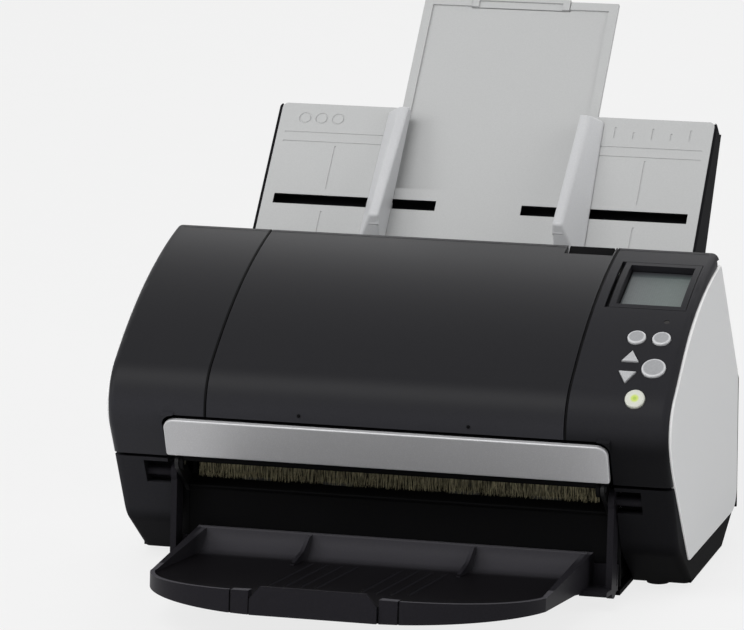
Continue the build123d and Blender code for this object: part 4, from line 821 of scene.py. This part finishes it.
def brush():
    """Backing strip and bristles of the exit brush: tufts whose tips spread and end unevenly."""
    bristle = one_bristle()
    strands = []
    chance = Random(7)
    reach = 2 * (brush_half - brush_inset)
    for i in range(bristle_count):
        x = -brush_half + brush_inset + reach * (i + 0.5) / bristle_count
        tuft = round(x / tuft_pitch) * tuft_pitch
        stray = (x - tuft) / tuft_pitch
        share = least_length + more_length * chance.random()
        length = (brush_root - brush_tip) * share + bristle_sunk
        wide = bristle_wide * (least_width + more_width * chance.random()) / 2
        root_y = brush_y + (chance.random() - 0.5) * root_depth
        lean = stray * tuft_lean + (chance.random() - 0.5) * chance_lean + wave_lean * sin(x / wave_long)
        shear = Matrix.Identity(4)
        shear[0][2] = -lean
        shear[1][2] = (chance.random() - 0.5) * depth_lean
        place = Matrix.Translation(drawn(x, root_y, brush_root + bristle_sunk))
        hand = 1 if chance.random() > 0.5 else -1
        size = Matrix.Diagonal((wide * hand, wide, length, 1.0))
        strands.append(copied(bristle, place @ shear @ size))
    bpy.data.objects.remove(bristle)
    hair = joined(strands)
    bpy.ops.object.mode_set(mode="EDIT")
    bpy.ops.mesh.select_all(action="SELECT")
    bpy.ops.mesh.normals_make_consistent(inside=False)
    bpy.ops.object.mode_set(mode="OBJECT")
    settle(hair, "brush_bristles", brush_hair())
    strip = bar_between(drawn(-brush_half, brush_y - brush_thick / 2, brush_root),
                        drawn(brush_half, brush_y + brush_thick / 2, brush_top))
    settle(strip, "brush_strip", inner)
    softened(strip, strip_round)
    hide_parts("exit_brush")
    for piece in (hair, strip):
        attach(piece, "cover")


def display():
    """Display behind its clear front, with a black border, and the liner of the groove beside it."""
    slope = slope_of(display_zero, display_tilt)
    screen = bar_between((screen_middle - screen_wide / 2, -screen_tall / 2, screen_low),
                         (screen_middle + screen_wide / 2, screen_tall / 2, screen_high))
    picked(screen, "faces", lambda face: face.normal.z > facing_share)
    bpy.ops.mesh.inset(thickness=screen_border, depth=0)
    bpy.ops.object.mode_set(mode="OBJECT")
    settle(screen, "display_screen", screen_grey(), slope)
    screen.data.materials.append(inner)
    for face in screen.data.polygons:
        pane = face.normal.z > facing_share and face.area > pane_share * screen_wide * screen_tall
        face.material_index = 0 if pane else 1
    liner = bar_between((groove_x[0], -groove_tall / 2, groove_deep),
                        (groove_x[1], groove_tall / 2, groove_fill))
    settle(liner, "groove_liner", inner, slope)
    softened(liner, liner_round)
    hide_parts("display_window")
    for piece in (screen, liner):
        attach(piece, "cover")


def fences():
    """Fences of the side guides, rounded all along, with a raked lower end."""
    slope = slope_of(chute_zero, chute_tilt)
    fence = bar_between((fence_inner, fence_low, fence_clear), (fence_crest, fence_high, fence_tall))
    shift(fence, lambda co: co.y > fence_high - mm and co.z > mm, (0, 0, fence_short - fence_tall))
    shift(fence, lambda co: co.x > fence_crest - mm and co.z < mm and co.y < fence_low + mm,
          (fence_foot_low - fence_crest, 0, 0))
    shift(fence, lambda co: co.x > fence_crest - mm and co.z < mm and co.y > fence_high - mm,
          (fence_foot_high - fence_crest, 0, 0))
    shift(fence, lambda co: co.z < mm and co.y < fence_low + mm, (0, -fence_rake, 0))
    softened(fence, fence_round, segments=4)
    other = mirrored(fence)
    guide_paint = guide_grey()
    for piece, side in ((fence, "right"), (other, "left")):
        settle(piece, "guide_fence_" + side, guide_paint, slope)
        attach(piece, "guide_" + side)


def finger_plate():
    """Front of the release lever, sunk in the cover's notch, in the darkest black, which is partly painted
    shade in the notch.
    """
    plate = bar_between(drawn(plate_x[0], plate_low[0], plate_low[1] - plate_thick),
                        drawn(plate_x[1], plate_high[0], plate_low[1]))
    lift = plate_high[1] - plate_low[1]
    rear = plate_high[0] + drawn_y - plate_near
    shift(plate, lambda co: co.y > rear, (0, 0, lift))
    settle(plate, "lever_finger_plate", inner)
    softened(plate, plate_round, segments=3)
    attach(plate, "release_lever")


def recess_corners():
    """Fillers that round the upper corners of the exit bar's recess, the right one in the
    operator panel's finish."""
    inset = recess_r + recess_skin
    corner = bar_between((recess_half - recess_r, -recess_r, -recess_plate), (recess_half, 0, 0))
    bpy.ops.mesh.primitive_cylinder_add(vertices=96, radius=recess_r, depth=4 * recess_plate,
                                        location=(recess_half - inset, -inset, 0))
    carved(corner, bpy.context.object)
    pair = joined([corner, mirrored(corner)])
    settle(pair, "recess_corners", cover, slope_of((0.0, *recess_top), recess_lean))
    pair.data.materials.append(panel)
    for face in pair.data.polygons:
        face.material_index = 1 if face.center.x > 0 else 0
    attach(pair, "cover")


def cover_seams():
    """Shadow lines of the front cover's two seams: slivers of its outer sections' own edges."""
    for node, ends in seams.items():
        sliver = own_copy(node)
        bpy.ops.object.mode_set(mode="EDIT")
        for x, far in zip(ends, (False, True)):
            bpy.ops.mesh.select_all(action="SELECT")
            bpy.ops.mesh.bisect(plane_co=(x, 0, 0), plane_no=(1, 0, 0), use_fill=True, clear_inner=not far,
                                clear_outer=far)
        bpy.ops.mesh.select_all(action="SELECT")
        bpy.ops.transform.shrink_fatten(value=seam_proud)
        bpy.ops.object.mode_set(mode="OBJECT")
        settle(sliver, node + "_seam", inner)
        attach(sliver, "cover")


def side_edging():
    """Black edging of the housing that shows behind each silver side panel."""
    first, *rest = edging_path
    strip = bar_between(drawn(edging_x[0], first[0] - edging_wide, first[1] - edging_wide),
                        drawn(edging_x[1], first[0], first[1]))
    picked(strip, "faces", lambda face: face.normal.z < -facing_share)
    here = first
    for place in rest:
        bpy.ops.mesh.extrude_region_move(
            TRANSFORM_OT_translate={"value": (0, place[0] - here[0], place[1] - here[1])})
        here = place
    bpy.ops.mesh.select_all(action="SELECT")
    bpy.ops.mesh.normals_make_consistent(inside=False)
    bpy.ops.object.mode_set(mode="OBJECT")
    softened(strip, edging_round)
    pair = joined([strip, mirrored(strip)])
    settle(pair, "side_edging", base)
    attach(pair, "housing")


def arm_shrouds():
    """Dark plates that close the housing behind the stacker's arms; their dark is painted shade there."""
    (x0, x1), (y0, y1), (z0, z1) = shroud_x, shroud_y, shroud_z
    plate = bar_between(drawn(x0, y0, z0), drawn(x1, y1, z1))
    softened(plate, shroud_round)
    pair = joined([plate, mirrored(plate)])
    settle(pair, "arm_shrouds", inner)
    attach(pair, "housing")


def lip_fillets():
    """Narrow dark fillets in the cut lines of the lip, so that no light shows through them; their dark is
    painted shade in the cuts.
    """
    fillets = []
    for (left, right), front in lip_gaps:
        fillet = bar_between((left, front, gap_z[0]), (right, gap_rear, gap_z[1]))
        softened(fillet, fillet_round)
        fillets += [fillet, mirrored(fillet)]
    piece = settle(joined(fillets), "lip_fillets", inner, slope_of(tray_zero, tray_tilt))
    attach(piece, "drawer")


def lined_face():
    """The chute's face with its moulded lines: the upper band, the uprights, rings and ticks."""
    face = own_copy("chute_face")
    slope = slope_of(chute_zero, chute_tilt)
    half = line_wide / 2
    cutters = []
    for side in (-1, 1):
        for up in (band_edge, second_edge):
            ends = sorted((side * line_x[0], side * line_x[1]))
            cutters.append(bar_between((ends[0], up - half, -line_deep),
                                       (ends[1], up + half, line_deep)))
        for low, high in upright_ends:
            cutters.append(bar_between((side * upright_x - half, low, -line_deep),
                                       (side * upright_x + half, high, line_deep)))
    for x in ring_places:
        bpy.ops.mesh.primitive_torus_add(location=(x, ring_up, 0), major_radius=ring_r, minor_radius=half,
                                         major_segments=40, minor_segments=8)
        cutters.append(bpy.context.object)
    for i, x in enumerate(tick_places):
        rise = tick_long * tick_shares[i % 2]
        cutters.append(bar_between((x - half, tick_low, -line_deep),
                                   (x + half, tick_low + rise, line_deep)))
    tool = joined(cutters)
    settle(tool, "line_cutter", chute, slope)
    carved(face, tool)
    settle(face, "chute_face_lined", chute)
    bpy.ops.object.shade_flat()
    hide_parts("chute_face")
    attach(face, "housing")


def floor_ribs():
    """Low ribs that the sheets slide over, on both sides of the stacker's floor."""
    front, back = rib_ends
    ribs = []
    for side in (-1, 1):
        for x in rib_places:
            middle = side * x
            rib = bar_between((middle - rib_wide / 2, front, deck_height - rib_sunk),
                              (middle + rib_wide / 2, back, deck_height + rib_high))
            picked(rib, "faces", lambda face: face.normal.z > facing_share)
            bpy.ops.mesh.inset(thickness=rib_wide * rib_flank, depth=0)
            bpy.ops.transform.resize(value=(1.0, rib_taper, 1.0))
            bpy.ops.object.mode_set(mode="OBJECT")
            for vertex in rib.data.vertices:
                outer = abs(vertex.co.x - middle) > rib_wide * rib_outside
                if outer and vertex.co.z > deck_height:
                    vertex.co.z = deck_height
            ribs.append(rib)
    piece = joined(ribs)
    settle(piece, "stacker_floor_ribs", stacker, slope_of(tray_zero, tray_tilt))
    softened(piece, rib_round)
    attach(piece, "stacker")


def cover_pips():
    """Two small moulded pips low on the cover's middle section."""
    pips = []
    for x, y, z in pip_places:
        bpy.ops.mesh.primitive_cylinder_add(vertices=20, radius=pip_r, depth=pip_deep,
                                            location=drawn(x, y, z), rotation=(radians(90), 0, 0))
        pip = bpy.context.object
        softened(pip, pip_round)
        pips.append(pip)
    piece = settle(joined(pips), "cover_pips", inner)
    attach(piece, "cover")


# Studio


def looking(place, aim):
    """Turn of a camera or lamp that looks from one place at another."""
    return (Vector(aim) - Vector(place)).to_track_quat("-Z", "Y").to_euler()


def camera():
    """Camera at the photograph's viewing angle."""
    data = bpy.data.cameras.new("camera")
    data.lens = picture_reach * film_width / picture_width
    data.sensor_width = film_width
    data.clip_end = camera_limit
    stand = bpy.data.objects.new("camera", data)
    bpy.context.scene.collection.objects.link(stand)
    stand.location = drawn(*camera_place)
    stand.rotation_euler = looking(camera_place, camera_aim)
    bpy.context.scene.camera = stand


def seen_rays(tree):
    """1 for camera, glossy and transmission rays, which see the plain pale background."""
    rays = put(tree, "LightPath").outputs
    seen = put(tree, "Math", {0: rays["Is Camera Ray"], 1: rays["Is Glossy Ray"]}, operation="MAXIMUM")
    seen = put(tree, "Math", {0: seen.outputs[0], 1: rays["Is Transmission Ray"]}, operation="MAXIMUM")
    return seen.outputs[0]


def backdrop():
    """World light, and the same pale tone behind everything."""
    world = bpy.data.worlds.new("studio")
    bpy.context.scene.world = world
    world.use_nodes = True
    tree = world.node_tree
    tree.nodes.clear()
    strength = put(tree, "MapRange", {"Value": seen_rays(tree), "To Min": backdrop_light, "To Max": 1.0})
    light = put(tree, "Background", {"Color": tone(backdrop_tone), "Strength": strength.outputs[0]})
    put(tree, "OutputWorld", {"Surface": light.outputs[0]})


def floor():
    """Pale floor that keeps a soft shadow."""
    bpy.ops.mesh.primitive_plane_add(size=2 * floor_half)
    ground = bpy.context.object
    ground.name = "studio_floor"
    material, tree, place = fresh("pale_floor")
    speck = put(tree, "TexNoise", {"Vector": place, "Scale": 1 / (40 * mm)})
    paint = put(tree, "BsdfDiffuse", {"Color": blend_tones(tree, speck.outputs["Fac"], *floor_tones)})
    glow = put(tree, "Emission", {"Color": tone(floor_glow), "Strength": 1.0})
    share = put(tree, "MapRange", {"Value": seen_rays(tree), "To Min": 0.0, "To Max": glow_share})
    mix = put(tree, "MixShader", {0: share.outputs[0], 1: paint.outputs[0], 2: glow.outputs[0]})
    put(tree, "OutputMaterial", {"Surface": mix.outputs[0]})
    ground.data.materials.append(material)


def lights():
    """Soft rectangular lamps round the machine."""
    for name, (place, (width, height), watts) in lamps.items():
        data = bpy.data.lights.new(name, "AREA")
        data.shape = "RECTANGLE"
        data.size, data.size_y = width, height
        data.energy = watts
        lamp = bpy.data.objects.new(name, data)
        bpy.context.scene.collection.objects.link(lamp)
        lamp.location = place
        lamp.rotation_euler = looking(place, lamp_aim)


# Finishes that several pieces share, and then everything in order

cover, base, inner = cover_black(), base_black(), hidden_black()
stacker, chute, panel = stacker_black(), chute_grey(), panel_black()
dress_nodes()
camera()
backdrop()
floor()
lights()
brush()
display()
fences()
lined_face()
finger_plate()
recess_corners()
cover_seams()
side_edging()
arm_shrouds()
floor_ribs()
lip_fillets()
cover_pips()

bpy.context.scene.view_settings.view_transform = "Standard"
